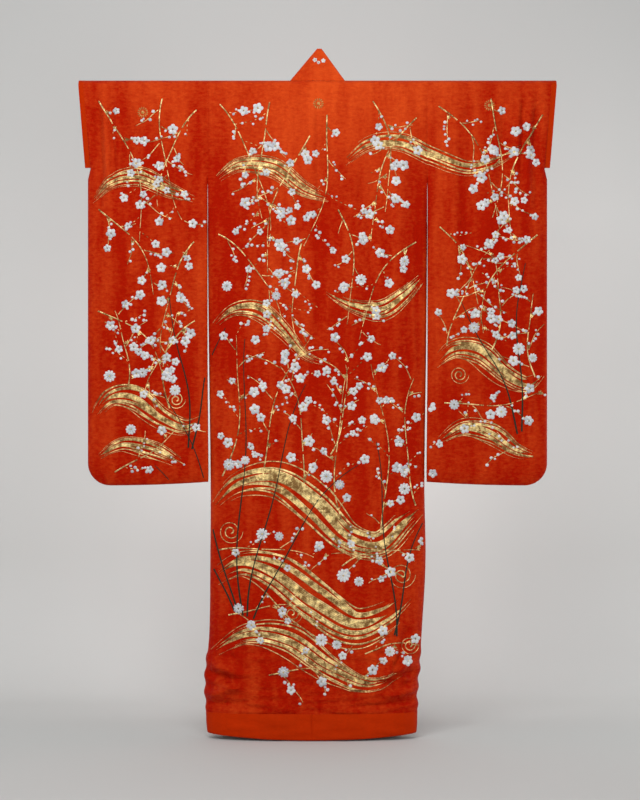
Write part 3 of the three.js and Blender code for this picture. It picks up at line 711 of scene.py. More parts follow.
def thread_group():
    """Laid threads: fine upright ridges, and duller patches, which in gold are also painted shade between
    painted highlights.
    """
    group, place, wear_and_painted_light, put_out = effect_group(
        "Laid thread", (0.8, 0.6, 0.2, 1), (0.5, 0.3, 0.1, 1), "Wear and painted light", 0.5
    )
    patches = noise(group, place, 42, 6, (1, 1, 1.4), 0.72)
    strokes = noise(group, place, 170, 3, (1, 1, 0.4))
    ridges = noise(group, place, 420, 3, (1, 1, 0.22))
    tone = summed(group, (patches, 1.0), (strokes, 0.3))
    # The mix lays the duller patches: thread rubbed dull, and in gold also painted shade beside painted
    # highlights.
    worn_and_painted_light = math_node(group, "MULTIPLY_ADD", tone, 4.6, -2.36, clamp=True)
    worn_and_painted_light = math_node(group, "MULTIPLY", worn_and_painted_light, wear_and_painted_light)
    roughness = math_node(group, "MULTIPLY_ADD", patches, 0.4, 0.16)
    return put_out(worn_and_painted_light, roughness, summed(group, (ridges, 1.0), (strokes, 0.8), (patches, 2.6)))


def shared(name, make):
    return bpy.data.node_groups.get(name) or make()


def new_material(name, **sockets):
    """A Principled material and its shader, with its constant values on the shader's own sockets."""
    made = bpy.data.materials.new(name)
    made.use_nodes = True
    shader = made.node_tree.nodes["Principled BSDF"]
    for label, value in sockets.items():
        shader.inputs[label.replace("_", " ")].default_value = value
    return made, shader


def finish_material(name, group, values, bump, **sockets):
    """A material fed by a shared group, whose height raises the surface by up to bump."""
    made = bpy.data.materials.get(name)
    if made:
        return made
    made, shader = new_material(name, **sockets)
    tree = made.node_tree
    effect, raised = tree.nodes.new("ShaderNodeGroup"), tree.nodes.new("ShaderNodeBump")
    effect.node_tree = group
    for label, value in values.items():
        effect.inputs[label].default_value = value
    raised.inputs["Strength"].default_value = 1.0
    raised.inputs["Distance"].default_value = bump * MM
    tree.links.new(effect.outputs["Colour"], shader.inputs["Base Color"])
    tree.links.new(effect.outputs["Roughness"], shader.inputs["Roughness"])
    tree.links.new(effect.outputs["Height"], raised.inputs["Height"])
    tree.links.new(raised.outputs["Normal"], shader.inputs["Normal"])
    return made


def opaque(colour, share=1.0):
    return (*[channel * share for channel in colour], 1.0)


SILK_SHINE = {
    "Specular_IOR_Level": 0.12,
    "Specular_Tint": (1, 0.2, 0.04, 1),
    "Sheen_Weight": 0.02,
    "Sheen_Roughness": 0.4,
    "Sheen_Tint": (1, 0.15, 0.05, 1),
}


def silk(name, colour, worn_and_painted_light, crinkle, bump):
    values = {"Colour": colour, "Worn and painted-light colour": worn_and_painted_light, "Crinkle": crinkle}
    return finish_material(name, shared("Crinkled silk", silk_group), values, bump, **SILK_SHINE)


def red_silk(style):
    return silk("Red silk", opaque(style.silk), opaque(style.silk_worn_and_lit), style.crinkle, bump=2.4)


def hem_silk(style):
    return silk("Plain red silk", opaque(style.hem), opaque(style.hem, 1.25), style.crinkle * 0.5, bump=1.4)


def thread(name, colour, worn_and_painted_light, wear_and_painted_light, bump, **sockets):
    values = {"Colour": opaque(colour), "Worn and painted-light colour": opaque(worn_and_painted_light), "Wear and painted light": wear_and_painted_light}
    return finish_material(name, shared("Laid thread", thread_group), values, bump, **sockets)


def gold_thread(style):
    # Bright and dark gold paint highlights and shade in patches, besides thread rubbed dull.
    return thread("Gold thread", style.gold, style.gold_dulled_and_shaded, wear_and_painted_light=0.95, bump=1.0, Metallic=0.8)


def dull_gold(style):
    # Its dark patches take the same dulled gold with painted shade.
    return thread("Dull gold thread", style.dull, style.gold_dulled_and_shaded, wear_and_painted_light=0.5, bump=0.5, Metallic=0.3)


def white_floss(style):
    return thread("White floss", style.white, style.silver, wear_and_painted_light=0.5, bump=0.4, Sheen_Weight=0.3)


def silver_floss(style):
    return thread("Silver grey floss", style.silver, style.white, wear_and_painted_light=0.35, bump=0.4, Sheen_Weight=0.3)


def green_thread(style):
    return thread("Dark green thread", style.green, style.green, wear_and_painted_light=0.0, bump=0.4, Specular_IOR_Level=0.15)


# ---- Embroidery ------------------------------------------------------------------------------------------
STREAMS = [table("x drop width", rows) for rows in (
    [(-286, 1150, 20), (-215, 1085, 60), (-110, 1075, 96), (-10, 1140, 110), (80, 1225, 84),
     (165, 1245, 74), (232, 1190, 66), (286, 1145, 40)],
    [(-286, 1345, 40), (-205, 1300, 70), (-110, 1325, 110), (-10, 1405, 128), (95, 1470, 110),
     (190, 1440, 76), (270, 1370, 40)],
    [(-288, 1545, 24), (-190, 1490, 60), (-80, 1505, 84), (30, 1580, 70), (140, 1625, 44),
     (236, 1590, 16)],
    [(-284, 655, 14), (-228, 610, 36), (-160, 612, 52), (-95, 665, 40), (-30, 735, 26), (40, 760, 12)],
    [(20, 560, 10), (92, 600, 34), (170, 612, 54), (232, 570, 44), (284, 520, 26)],
    [(-612, 905, 20), (-562, 850, 52), (-495, 850, 72), (-425, 905, 58), (-362, 935, 44),
     (-316, 915, 22)],
    [(-596, 1010, 14), (-530, 975, 40), (-450, 995, 48), (-372, 1032, 26)],
    [(318, 770, 22), (372, 722, 50), (440, 728, 74), (508, 785, 62), (568, 812, 44), (614, 780, 20)],
    [(330, 975, 16), (398, 935, 46), (474, 948, 58), (540, 990, 40), (594, 1008, 18)],
    [(-616, 318, 10), (-560, 262, 34), (-485, 248, 50), (-405, 285, 44), (-330, 312, 18)],
    [(-284, 262, 14), (-214, 214, 40), (-124, 224, 56), (-40, 282, 42), (44, 312, 14)],
    [(70, 214, 14), (138, 160, 38), (226, 156, 52), (314, 192, 48), (404, 222, 42), (486, 206, 28),
     (566, 158, 12)],
)]
# The lines that make up a stream: their places across it and their breadths, as shares of its width.
STREAM_LINES = [
    (-0.5, 0.035), (-0.41, 0.06), (-0.27, 0.14), (-0.04, 0.22),
    (0.17, 0.12), (0.3, 0.07), (0.4, 0.05), (0.5, 0.03),
]
STREAM_RIB, STREAM_RISE = 4.5, 1.1
STREAM_SWAY, STREAM_TAPER, THINNEST_LINE = 0.06, 0.12, 0.8
WHIRLS = [
    (-236, 1212, 34), (228, 1330, 38), (-70, 1432, 30), (250, 1520, 26), (-385, 858, 26), (386, 790, 26),
]
WHIRL_TURNS, WHIRL_STEPS, WHIRL_CLOSING, WHIRL_WIDTHS, WHIRL_RISE = 2.2, 60, 0.85, (1.6, 4), 0.8

STALK_COLUMNS = "x drop heading length curl"
# Stalks with the way they set out, in degrees (0 along +X, 90 straight down), and how far they bend.
SPRAYS = table(STALK_COLUMNS, [
    (-600, 34, 52, 420, 42), (-420, 26, 100, 350, -38), (-322, 60, 138, 300, -50),
    (-604, 330, 30, 300, 52), (-330, 420, 128, 330, -42), (-606, 610, 12, 270, 62),
    (-326, 640, 150, 250, -48), (-520, 836, -82, 230, -34), (-400, 890, -104, 280, 38),
    (-560, 1056, -24, 230, -20), (-272, 44, 46, 430, 48), (-128, 36, 108, 330, -26),
    (-16, 128, 126, 410, -36), (-278, 400, 26, 320, 56), (-40, 420, 112, 300, -40),
    (-262, 1070, -70, 400, -30), (-150, 1070, -86, 430, 30), (-40, 1110, -78, 360, -42),
    (26, 70, 84, 380, 30), (146, 34, 62, 340, 46), (276, 80, 132, 380, -44), (52, 330, 66, 330, 40),
    (276, 420, 146, 330, -52), (70, 1190, -104, 440, 34), (170, 1230, -82, 480, -22),
    (270, 1150, -112, 360, 40), (30, 1010, -60, 260, -40), (-276, 1265, -14, 270, 34),
    (60, 1310, -34, 230, 46), (-250, 1440, -20, 250, 30), (120, 1545, -28, 170, 40),
    (-140, 1600, -12, 260, 28), (240, 1340, -140, 220, -40), (322, 50, 38, 400, 52),
    (470, 26, 72, 340, 32), (618, 70, 126, 370, -42), (326, 380, 46, 330, 44), (606, 400, 152, 320, -58),
    (352, 720, -84, 300, 34), (470, 726, -68, 270, -42), (596, 800, -108, 240, 34),
    (596, 1010, -168, 250, 38), (336, 868, 8, 270, -28),
])
FRONT_SPRAYS = (0, 2, 4, 6, 8, 10, 13, 15, 18, 20, 22, 24, 27, 30, 33, 35, 38, 41)
STALK_STEP, STALK_WIDTHS, STALK_RISE, RUN_LONGEST = 9.0, (4.4, 1.8), 1.2, 16
STALK_WAVER, STALK_WAVES, WAVER_PITCH = 7.0, 1.2, 90
TWIG_EVERY, TWIG_STEP, TWIG_WIDTHS, TWIG_RISE, DASH_WIDTH, DASH_RISE = 5, 7.0, (2.8, 1.8), 1.0, 2.6, 1.1
TWIG_LENGTHS, TWIG_SLANT, TWIG_CURL = (34, 104), (24, 52), (6, 38)
# No stitching comes nearer to the rod's level, or in front nearer to the middle, than this.
ROD_CLEAR, FRONT_BARE = 6, 78
FLOWER_RADII = (9.5, 15.5)
FLOWER_STRAY = (-6, 6)
BUD_RADII, BUD_OFF, BUD_LEAN = (3.2, 5.4), (1.5, 8), (-0.6, 0.6)
BUD_WIDTH, BUD_RISE, GREY_BUDS = 1.8, 2.0, 0.3
LEAVES, LEAF_SHARE, LEAF_SLANT, LEAF_LENGTHS = (-0.7, 0, 0.7), 0.4, 1.2, (8, 12)
LEAF_WIDTH, LEAF_RISE, LEAF_TAPER = 4.4, 0.7, 0.35
PETALS, PETAL_RISE, PETAL_TAPER, FLOWER_HEART_RISE = 5, 2.2, 0.2, 2.7
# As shares of a flower's radius.
PETAL_ROOT, PETAL_LENGTH, PETAL_WIDTH, FLOWER_HEART = 0.1, 0.92, 0.9, 0.15

BLADE_WIDTHS, BLADE_RISE = (5.0, 2.0), 1.4
BLADES = table(STALK_COLUMNS, [
    (-212, 1440, -101, 640, -14), (-200, 1446, -94, 760, 10), (-190, 1450, -86, 660, 20),
    (-222, 1436, -108, 460, -20), (-176, 1456, -74, 520, 34), (556, 950, -96, 470, 12),
    (546, 956, -106, 400, -16), (-352, 1000, -92, 430, -12), (-344, 1004, -84, 360, 16),
    (206, 1500, -82, 420, 18), (214, 1504, -92, 540, -8),
])

BLOOM_COLUMNS = "x drop radius"
BLOOMS = table(BLOOM_COLUMNS, [
    (-240, 1030, 17), (-196, 1018, 13), (24, 1062, 18), (60, 1084, 14), (236, 1096, 17), (-150, 1218, 17),
    (-104, 1224, 13), (70, 1330, 19), (112, 1346, 14), (-214, 1420, 16), (10, 1504, 18), (52, 1516, 14),
    (-92, 1590, 16), (196, 1536, 15), (-566, 790, 17), (-476, 782, 14), (-388, 832, 16), (-508, 936, 15),
    (426, 660, 16), (548, 716, 18), (586, 740, 13), (372, 872, 15), (500, 888, 17), (-246, 545, 15),
    (-112, 572, 13), (118, 528, 16), (236, 478, 14),
])
# Rings of a rosette: the share of its radius, and how many petals.
ROSETTE_RINGS = ((1, 10), (0.62, 8))
ROSETTE_PETAL, ROSETTE_HEART, ROSETTE_HEART_RISE = 0.44, 0.18, 3.0
ROSETTE_RISE, ROSETTE_STEP, ROSETTE_TAPER = 2.0, 0.6, -0.5
CREST_STITCHES, CREST_RISE, CREST_TAPER, CREST_HEART_RISE = 14, 0.6, -0.3, 0.8
CREST_ROOT, CREST_LENGTH, CREST_WIDTH, CREST_HEART = 0.42, 0.56, 0.24, 0.34
COLLAR_FLOWERS = ((-7, -73, 6.5), (3, -66, 5.0), (16, -71, 6.5))
COLLAR_LEAVES, COLLAR_LEAF_DROP = ((-2, 0.4), (8, -0.5)), -70
CRESTS = table(BLOOM_COLUMNS, [(2.7, 48, 16), (-475.5, 72, 16), (468, 53, 16)])


def on_cloth(x, drop, margin):
    """Whether a place lies on the body or a sleeve, clear of its edges."""
    from_centre, from_middle = np.abs(x - section("centre", drop)), np.abs(x)
    on_body = (from_centre < section("half", drop) - margin) & (drop < BODY_DROP - margin)
    within = from_middle < sleeve_outer(drop) - margin
    on_sleeve = within & (from_middle > sleeve_inner(drop) + margin) & (drop < SLEEVE_DROP - 2 * margin)
    on_yoke = within & (drop < ARMHOLE_DROP - margin)
    return (on_body | on_sleeve | on_yoke) & (drop > ROD_CLEAR + margin)


def skin_point(face, x, drop, height):
    """A place on the outside of body or sleeve, raised by a height."""

    def place(x, drop):
        centre, half = section("centre", drop), section("half", drop)
        side = np.where(x < centre, LEFT, RIGHT)
        body = body_point(face, side, np.abs(x - centre), drop)
        inner = sleeve_inner(drop)
        share = np.clip((np.abs(x) - inner) / (sleeve_outer(drop) - inner), 0, 1)
        sleeved = sleeve_point(face, np.sign(x), share, drop)
        return np.where((np.abs(x - centre) > half)[..., None], sleeved, body)

    here = place(x, drop)
    step = 0.8
    normal = unit(np.cross(place(x + step, drop) - here, place(x, drop + step) - here))
    normal *= np.sign(normal[..., 1:2]) * face
    return here + normal * (height + SILK_WALL / 2)[..., None]


def collar_skin(face, x, drop, height):
    """A place on the back of the collar's peak."""
    up = np.clip((-drop - COLLAR_FOOT) / (COLLAR_PEAK[2] - COLLAR_FOOT), 0, 1)
    depth = lerp(WRAP * math.sin(NECK_ANGLE), COLLAR_PEAK_BACK - COLLAR_PEAK[1], up)
    return np.stack([x, -depth - COLLAR_WALL / 2 - height, -drop], -1)


class Stitches:
    """Raised stitching in one kind of thread, laid out flat and then placed on the cloth."""

    BAND_MARGIN, PETAL_MARGIN = 5, 1.5
    # Edges are sunk into the cloth; shoulders and the valleys between ribs are shares of the height.
    BAND_EDGE, PETAL_EDGE, SHOULDER, VALLEY = -0.3, -0.15, 0.85, 0.25
    RIB_PLACES = (-0.5, -0.34, 0, 0.34)
    HEART, CROWN = 0.52, 0.6

    def __init__(self, face, skin=skin_point):
        self.face, self.skin = face, skin
        self.places, self.faces, self.count = [], [], 0

    def fits(self, x, drop, margin):
        """Whether a place lies on cloth, and in front also clear of collar, overlap and neck opening."""
        clear = on_cloth(x, drop, margin)
        return clear & (np.abs(x) > FRONT_BARE + margin) if self.face == FRONT else clear

    def add(self, x, drop, height, faces):
        self.places.append(np.stack([np.ravel(x), np.ravel(drop), np.ravel(height)], -1))
        self.faces += [[i + self.count for i in face] for face in faces]
        self.count += np.size(x)

    def band(self, x, drop, width, height, ribs=1):
        """A couched band along a path: one domed thread, or several laid side by side."""
        dx, dd = np.gradient(x), np.gradient(drop)
        length = np.maximum(np.hypot(dx, dd), 1e-6)
        places = [(k + 0.5 + place) / ribs for k in range(ribs) for place in self.RIB_PLACES]
        offset = np.array(places + [1.0]) - 0.5
        rise = np.array([self.VALLEY, self.SHOULDER, 1, self.SHOULDER] * ribs + [self.BAND_EDGE])
        rise[0] = self.BAND_EDGE
        width = np.broadcast_to(width, x.shape)
        xs = x[:, None] - (dd / length * width)[:, None] * offset
        drops = drop[:, None] + (dx / length * width)[:, None] * offset
        heights = np.broadcast_to(rise * height, xs.shape)
        kept = self.fits(xs, drops, self.BAND_MARGIN).all(axis=1)
        index = np.arange(xs.size).reshape(xs.shape)
        faces = [
            [index[k, i], index[k, i + 1], index[k + 1, i + 1], index[k + 1, i]]
            for k in range(len(x) - 1)
            if kept[k] and kept[k + 1]
            for i in range(len(offset) - 1)
        ]
        self.add(xs, drops, heights, faces)

    def dashes(self, x, drop, width, height):
        """A broken line of short stitches along a path."""
        for k in range(0, len(x) - 1, 2):
            run = math.hypot(x[k + 1] - x[k], drop[k + 1] - drop[k])
            turn = math.atan2(drop[k + 1] - drop[k], x[k + 1] - x[k])
            self.petal(x[k], drop[k], turn, run * 1.15, width, height, 0, 6)

    def petal(self, x, drop, angle, length, width, height, point=0.0, sides=8):
        """A satin-stitched petal or leaf from its root outwards; point above 0 tapers its tip."""
        turn = np.arange(sides) * math.tau / sides
        rim_along = length / 2 * (1 + np.cos(turn))
        rim_aside = width / 2 * np.sin(turn) * (1 - point * np.cos(turn))
        heart = length * self.HEART
        along = np.concatenate([rim_along, heart + (rim_along - heart) * self.CROWN, [heart]])
        aside = np.concatenate([rim_aside, rim_aside * self.CROWN, [0]])
        xs = x + along * math.cos(angle) - aside * math.sin(angle)
        drops = drop + along * math.sin(angle) + aside * math.cos(angle)
        if self.skin is skin_point and not self.fits(xs, drops, self.PETAL_MARGIN).all():
            return
        heights = np.repeat([self.PETAL_EDGE, height * self.SHOULDER, height], [sides, sides, 1])
        rim, after = np.arange(sides), (np.arange(sides) + 1) % sides
        skirt = np.stack([rim, after, after + sides, rim + sides], -1).tolist()
        crown = np.stack([rim + sides, after + sides, np.full(sides, 2 * sides)], -1).tolist()
        self.add(xs, drops, heights, skirt + crown)

    def disc(self, x, drop, radius, height, sides):
        self.petal(x - radius, drop, 0, 2 * radius, 2 * radius, height, 0, sides)

    def ray(self, x, drop, root, angle, *sizes):
        """A petal that starts at a distance from a flower's middle."""
        self.petal(x + root * math.cos(angle), drop + root * math.sin(angle), angle, *sizes)

    def make(self, name, material):
        places = np.concatenate(self.places)
        points = self.skin(self.face, places[:, 0], places[:, 1], places[:, 2])
        used = np.unique(np.concatenate([np.asarray(face) for face in self.faces]))
        renumber = np.zeros(self.count, int)
        renumber[used] = np.arange(len(used))
        faces = [renumber[face].tolist() for face in self.faces]
        corner = points[used][np.array([face[:3] for face in faces])]
        facing = np.cross(corner[:, 1] - corner[:, 0], corner[:, 2] - corner[:, 0])[:, 1] * self.face
        faces = [face if right > 0 else face[::-1] for face, right in zip(faces, facing)]
        return add_mesh(name, points[used], faces, [material], sharp=80)


def grown(row, step=STALK_STEP):
    """A stalk from its root: it turns evenly by its curl and wavers a little."""
    count = max(6, round(row["length"] / step))
    t = np.linspace(0, 1, count)
    waver = STALK_WAVER * np.sin(math.tau * (STALK_WAVES * t + row["x"] / WAVER_PITCH))
    angle = np.radians(row["heading"] + row["curl"] * t + waver)
    stride = row["length"] / count
    x = row["x"] + np.cumsum(np.cos(angle)) * stride
    return x, row["drop"] + np.cumsum(np.sin(angle)) * stride, angle


def smooth_path(stream, steps=14):
    """The rows of a stream joined by a smooth curve."""
    last = len(stream) - 1
    t = np.linspace(0, last, last * steps + 1)
    k = np.clip(t.astype(int), 0, last - 1)
    u = t - k
    out = []
    for name in stream.dtype.names:
        p = [stream[name][np.clip(k + i, 0, last)] for i in (-1, 0, 1, 2)]
        out.append(
            0.5 * (2 * p[1] + (p[2] - p[0]) * u + (2 * p[0] - 5 * p[1] + 4 * p[2] - p[3]) * u**2
                   + (3 * p[1] - p[0] - 3 * p[2] + p[3]) * u**3)
        )
    return out


def blossom(white, grey, hearts, x, drop, radius, turn, shaded):
    """A flower of five broad petals, some of them grey as painted shade, round a small gold heart."""
    for i in range(PETALS):
        angle = turn + i * math.tau / PETALS
        # Shaded petals take grey floss: painted shade on the white flower.
        petals = grey if i in shaded else white
        sizes = (radius * PETAL_LENGTH, radius * PETAL_WIDTH, PETAL_RISE, PETAL_TAPER)
        petals.ray(x, drop, radius * PETAL_ROOT, angle, *sizes)
    hearts.disc(x, drop, radius * FLOWER_HEART, FLOWER_HEART_RISE, 6)


def twig(rng, x, drop, heading, hand):
    """A side twig as a stalk's row, set off at a slant and curling on the same way."""
    length = rng.uniform(*TWIG_LENGTHS)
    slant, curl = rng.uniform(*TWIG_SLANT), rng.uniform(*TWIG_CURL)
    return table(STALK_COLUMNS, [(x, drop, math.degrees(heading) + hand * slant, length, hand * curl)])[0]


def runs(rng, count):
    """Parts of a path whose thread is whole, with one step bare after each."""
    start = 0
    while start < count - 2:
        end = min(count, start + rng.integers(RUN_LONGEST // 2, RUN_LONGEST))
        yield slice(start, end)
        start = end


def sprays(face, rows, style):
    """Arching stalks of gold with side twigs, leaves in threes, five-petalled flowers and round buds."""
    rng = np.random.default_rng(style.seed + (0 if face == BACK else 1))
    stems, leaves, white, grey = (Stitches(face) for _ in range(4))
    for number, row in enumerate(rows):
        x, drop, angle = grown(row)
        width = np.linspace(*STALK_WIDTHS, len(x))
        for run in runs(rng, len(x)):
            stems.band(x[run], drop[run], width[run], STALK_RISE)
        for at in range(3, len(x), TWIG_EVERY):
            hand = 1 if (at // TWIG_EVERY + number) % 2 else -1
            tx, td, ta = grown(twig(rng, x[at], drop[at], angle[at], hand), TWIG_STEP)
            if rng.random() < style.broken:
                stems.dashes(tx, td, DASH_WIDTH, DASH_RISE)
            else:
                stems.band(tx, td, np.linspace(*TWIG_WIDTHS, len(tx)), TWIG_RISE)
            for k in range(2, len(tx)):
                off = rng.uniform(*BUD_OFF) * rng.choice((-1, 1))
                if rng.random() > style.bareness:
                    radius = rng.uniform(*BUD_RADII)
                    buds = grey if rng.random() < GREY_BUDS else white
                    bud_x, bud_drop = tx[k] - math.sin(ta[k]) * off - radius, td[k] + math.cos(ta[k]) * off
                    lean = rng.uniform(*BUD_LEAN)
                    buds.petal(bud_x, bud_drop, lean, 2 * radius, BUD_WIDTH * radius, BUD_RISE, 0, 7)
            for k in (len(tx) - 1, len(tx) // 2):
                if rng.random() < style.flowering:
                    shaded = rng.permutation(PETALS)[: rng.integers(0, 4)]
                    flower_x = tx[k] + rng.uniform(*FLOWER_STRAY)
                    flower_drop = td[k] + rng.uniform(*FLOWER_STRAY)
                    radius, turn = rng.uniform(*FLOWER_RADII), rng.uniform(0, math.tau)
                    blossom(white, grey, leaves, flower_x, flower_drop, radius, turn, shaded)
            if rng.random() < LEAF_SHARE:
                for spread in LEAVES:
                    aim, length = ta[1] - hand * LEAF_SLANT + spread, rng.uniform(*LEAF_LENGTHS)
                    leaves.petal(tx[1], td[1], aim, length, LEAF_WIDTH, LEAF_RISE, LEAF_TAPER)
    return stems, leaves, white, grey


# ---- Settings --------------------------------------------------------------------------------------------
def colour_setting(name, description, default):
    return bpy.props.FloatVectorProperty(
        name=name, description=description, default=default, min=0, max=1, size=3, subtype="COLOR"
    )


def number_setting(name, description, default, **limits):
    return bpy.props.FloatProperty(name=name, description=description, default=default, **limits)


def share_setting(name, description, default, most=1):
    return number_setting(name, description, default, min=0, max=most, subtype="FACTOR")


def power_setting(name, description, default):
    return number_setting(name, description, default, min=0, unit="POWER")


class KimonoSilk(bpy.types.PropertyGroup):
    # The silk is mixed between these two in random mottling; the deep colour is also painted shade, and the
    # rubbed one also painted light, most of it high up in the middle.
    silk: colour_setting("Silk", "Dyed silk where it is deepest in colour", (0.34, 0.005, 0.0005))
    silk_worn_and_lit: colour_setting("Worn and lit silk", "Silk where it has rubbed and faded", (0.60, 0.062, 0.009))
    hem: colour_setting("Hem", "Plain silk of the hem, the wrist edges and the inside", (0.38, 0.019, 0.001))
    rod: colour_setting("Rod", "Lacquered rod", (0.03, 0.02, 0.015))
    crinkle: share_setting("Crinkle", "Height of the fine crinkles", 1.0, most=3)


class KimonoThread(bpy.types.PropertyGroup):
    # Bright and dark gold are mixed in patches: thread rubbed dull, and painted highlights and painted shade.
    gold: colour_setting("Gold", "Gold thread where it is bright", (0.93, 0.72, 0.31))
    gold_dulled_and_shaded: colour_setting("Dulled and shaded gold", "Gold thread where it has dulled", (0.17, 0.075, 0.015))
    dull: colour_setting("Dull gold", "Flat gold of the roundels", (0.40, 0.16, 0.02))
    white: colour_setting("White", "White floss", (0.64, 0.64, 0.63))
    silver: colour_setting("Silver grey", "Grey floss", (0.36, 0.37, 0.40))
    green: colour_setting("Green", "Dark green thread", (0.006, 0.018, 0.010))
    seed: bpy.props.IntProperty(
        name="Seed", description="Arrangement of twigs and flowers", default=11, min=0
    )
    bareness: share_setting("Bareness", "Share of the bud places left empty", 0.55)
    flowering: share_setting("Flowering", "Share of the flower places taken", 0.42)
    broken: share_setting("Broken twigs", "Share of the twigs in broken lines", 0.35)


class KimonoStage(bpy.types.PropertyGroup):
    paper: colour_setting("Backdrop", "Pale floor and backdrop", (0.524, 0.524, 0.512))
    distance: number_setting("Distance", "From the camera to the rod's axis", 4.8, min=1, unit="LENGTH")
    view_height: number_setting(
        "View height", "Height of the view at the kimono", 2.171, min=0.5, unit="LENGTH"
    )
    key: power_setting("Key light", "Strength of the main light", 35)
    fill: power_setting("Fill light", "Strength of the second light", 51)
    back: power_setting("Backdrop light", "Strength of each light behind", 9)
    ambient: number_setting("Ambient", "Strength of the light all round", 0.41, min=0)


# ---- Operators -------------------------------------------------------------------------------------------
class BuildStep(bpy.types.Operator):
    """One step of the build."""

    bl_options = {"REGISTER", "UNDO"}

    def execute(self, context):
        self.build(context.scene)
        return {"FINISHED"}


class KIMONO_OT_rod(BuildStep):
    """Makes the round rod that the kimono hangs on"""

    bl_idname = "kimono.rod"
    bl_label = "Rod"

    def build(self, scene):
        sides, chamfer, inset, end_share = 48, 1.5, 0.1, 0.9
        turn = np.arange(sides) * math.tau / sides
        full = ROD_HALF - chamfer
        ends = [(-ROD_HALF, end_share), (-full, 1), (full, 1), (ROD_HALF, end_share)]
        y, z = np.cos(turn) * (ROD_RADIUS - inset), np.sin(turn) * (ROD_RADIUS - inset)
        points = [np.stack([np.full(sides, x), y * share, z * share], -1) for x, share in ends]
        index = np.arange(sides)
        onward = (index + 1) % sides
        faces = [list(range(sides))[::-1], [3 * sides + i for i in range(sides)]]
        for k in range(len(ends) - 1):
            faces += (np.stack([index, onward, onward + sides, index + sides], -1) + k * sides).tolist()
        lacquer, _ = new_material("Dark lacquer", Base_Color=opaque(scene.kimono_silk.rod), Roughness=0.3)
        rod = add_mesh("display_rod", np.concatenate(points), faces, [lacquer], sharp=40)
        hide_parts("rod")


def hang(name, built, materials, nodes):
    """Makes a cloth piece in place of its frame nodes."""
    points, faces, slots = built
    piece = add_mesh(name, points, faces, materials, slots)
    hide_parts(*nodes)
    return piece


class KIMONO_OT_body(BuildStep):
    """Makes the two body panels and the two front overlap panels"""

    bl_idname = "kimono.body"
    bl_label = "Body and overlap panels"

    def build(self, scene):
        red, lining = red_silk(scene.kimono_silk), hem_silk(scene.kimono_silk)
        for side, hand in HANDS.items():
            panels = (f"back_{hand}", f"front_{hand}")
            body = hang(f"body_{hand}_silk", body_panel(side), [red, lining], panels)
            hang(f"overlap_{hand}_silk", overlap_panel(side), [red, lining], [f"overlap_{hand}"])


class KIMONO_OT_sleeves(BuildStep):
    """Makes the two long sleeves and the bindings of their wrist openings"""

    bl_idname = "kimono.sleeves"
    bl_label = "Sleeves"

    def build(self, scene):
        red, lining = red_silk(scene.kimono_silk), hem_silk(scene.kimono_silk)
        for side, hand in HANDS.items():
            layers = (f"sleeve_{hand}_back", f"sleeve_{hand}_front")
            hang(f"sleeve_{hand}_silk", sleeve(side), [red, lining], layers)
            hang(f"cuff_{hand}_silk", cuff_binding(side), [lining, lining], [f"cuff_{hand}"])


class KIMONO_OT_collar(BuildStep):
    """Makes the long collar band with its folded peak"""

    bl_idname = "kimono.collar"
    bl_label = "Collar"

    def build(self, scene):
        red, lining = red_silk(scene.kimono_silk), hem_silk(scene.kimono_silk)
        hang("collar_silk", collar_band(), [red, lining], ["collar"])


class KIMONO_OT_hem(BuildStep):
    """Makes the wadded band at the foot"""

    bl_idname = "kimono.hem"
    bl_label = "Hem band"

    def build(self, scene):
        for side, hand in HANDS.items():
            points, faces = hem_band(side)
            piece = add_mesh(f"hem_{hand}_wadded", points, faces, [hem_silk(scene.kimono_silk)])
            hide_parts(f"hem_{hand}")


class KIMONO_OT_stream(BuildStep):
    """Lays the bands of gold thread that make the flowing stream"""

    bl_idname = "kimono.stream"
    bl_label = "Gold stream"

    def build(self, scene):
        rng = np.random.default_rng(scene.kimono_thread.seed)
        gold = Stitches(BACK)
        for stream in STREAMS:
            x, drop, width = smooth_path(stream)
            dx, dd = np.gradient(x), np.gradient(drop)
            length = np.hypot(dx, dd)
            t = np.linspace(0, 1, len(x))
            for place, share in STREAM_LINES:
                sway = np.sin(math.tau * (t * rng.uniform(0.8, 1.6) + rng.uniform(0, 1)))
                off = width * (place + STREAM_SWAY * sway)
                start, end = rng.uniform(0, 0.16), rng.uniform(0.84, 1)
                swelled = smoothstep(t, start, start + STREAM_TAPER)
                taper = swelled * (1 - smoothstep(t, end - STREAM_TAPER, end))
                broad = np.maximum(width * share * taper, THINNEST_LINE)
                keep = (t >= start) & (t <= end)
                path_x, path_drop = (x - dd / length * off)[keep], (drop + dx / length * off)[keep]
                ribs = max(1, round(float(broad.max()) / STREAM_RIB))
                gold.band(path_x, path_drop, broad[keep], STREAM_RISE, ribs)
        for x, drop, radius in WHIRLS:
            turn = np.linspace(0, math.tau * WHIRL_TURNS, WHIRL_STEPS)
            reach = radius * (1 - turn / turn[-1] * WHIRL_CLOSING)
            width = np.linspace(*WHIRL_WIDTHS, WHIRL_STEPS)
            gold.band(x + reach * np.cos(turn), drop + reach * np.sin(turn), width, WHIRL_RISE)
        gold.make("stream_gold", gold_thread(scene.kimono_thread))


class KIMONO_OT_sprays(BuildStep):
    """Stitches the sprays of stalks, leaves, buds and flowers on back and front"""

    bl_idname = "kimono.sprays"
    bl_label = "Flowering sprays"

    def build(self, scene):
        style = scene.kimono_thread
        for face, rows, where in ((BACK, SPRAYS, "back"), (FRONT, SPRAYS[list(FRONT_SPRAYS)], "front")):
            stems, leaves, white, silver = sprays(face, rows, style)
            stems.make(f"clover_stems_{where}", gold_thread(style))
            leaves.make(f"clover_leaves_{where}", gold_thread(style))
            white.make(f"clover_white_{where}", white_floss(style))
            silver.make(f"clover_grey_{where}", silver_floss(style))


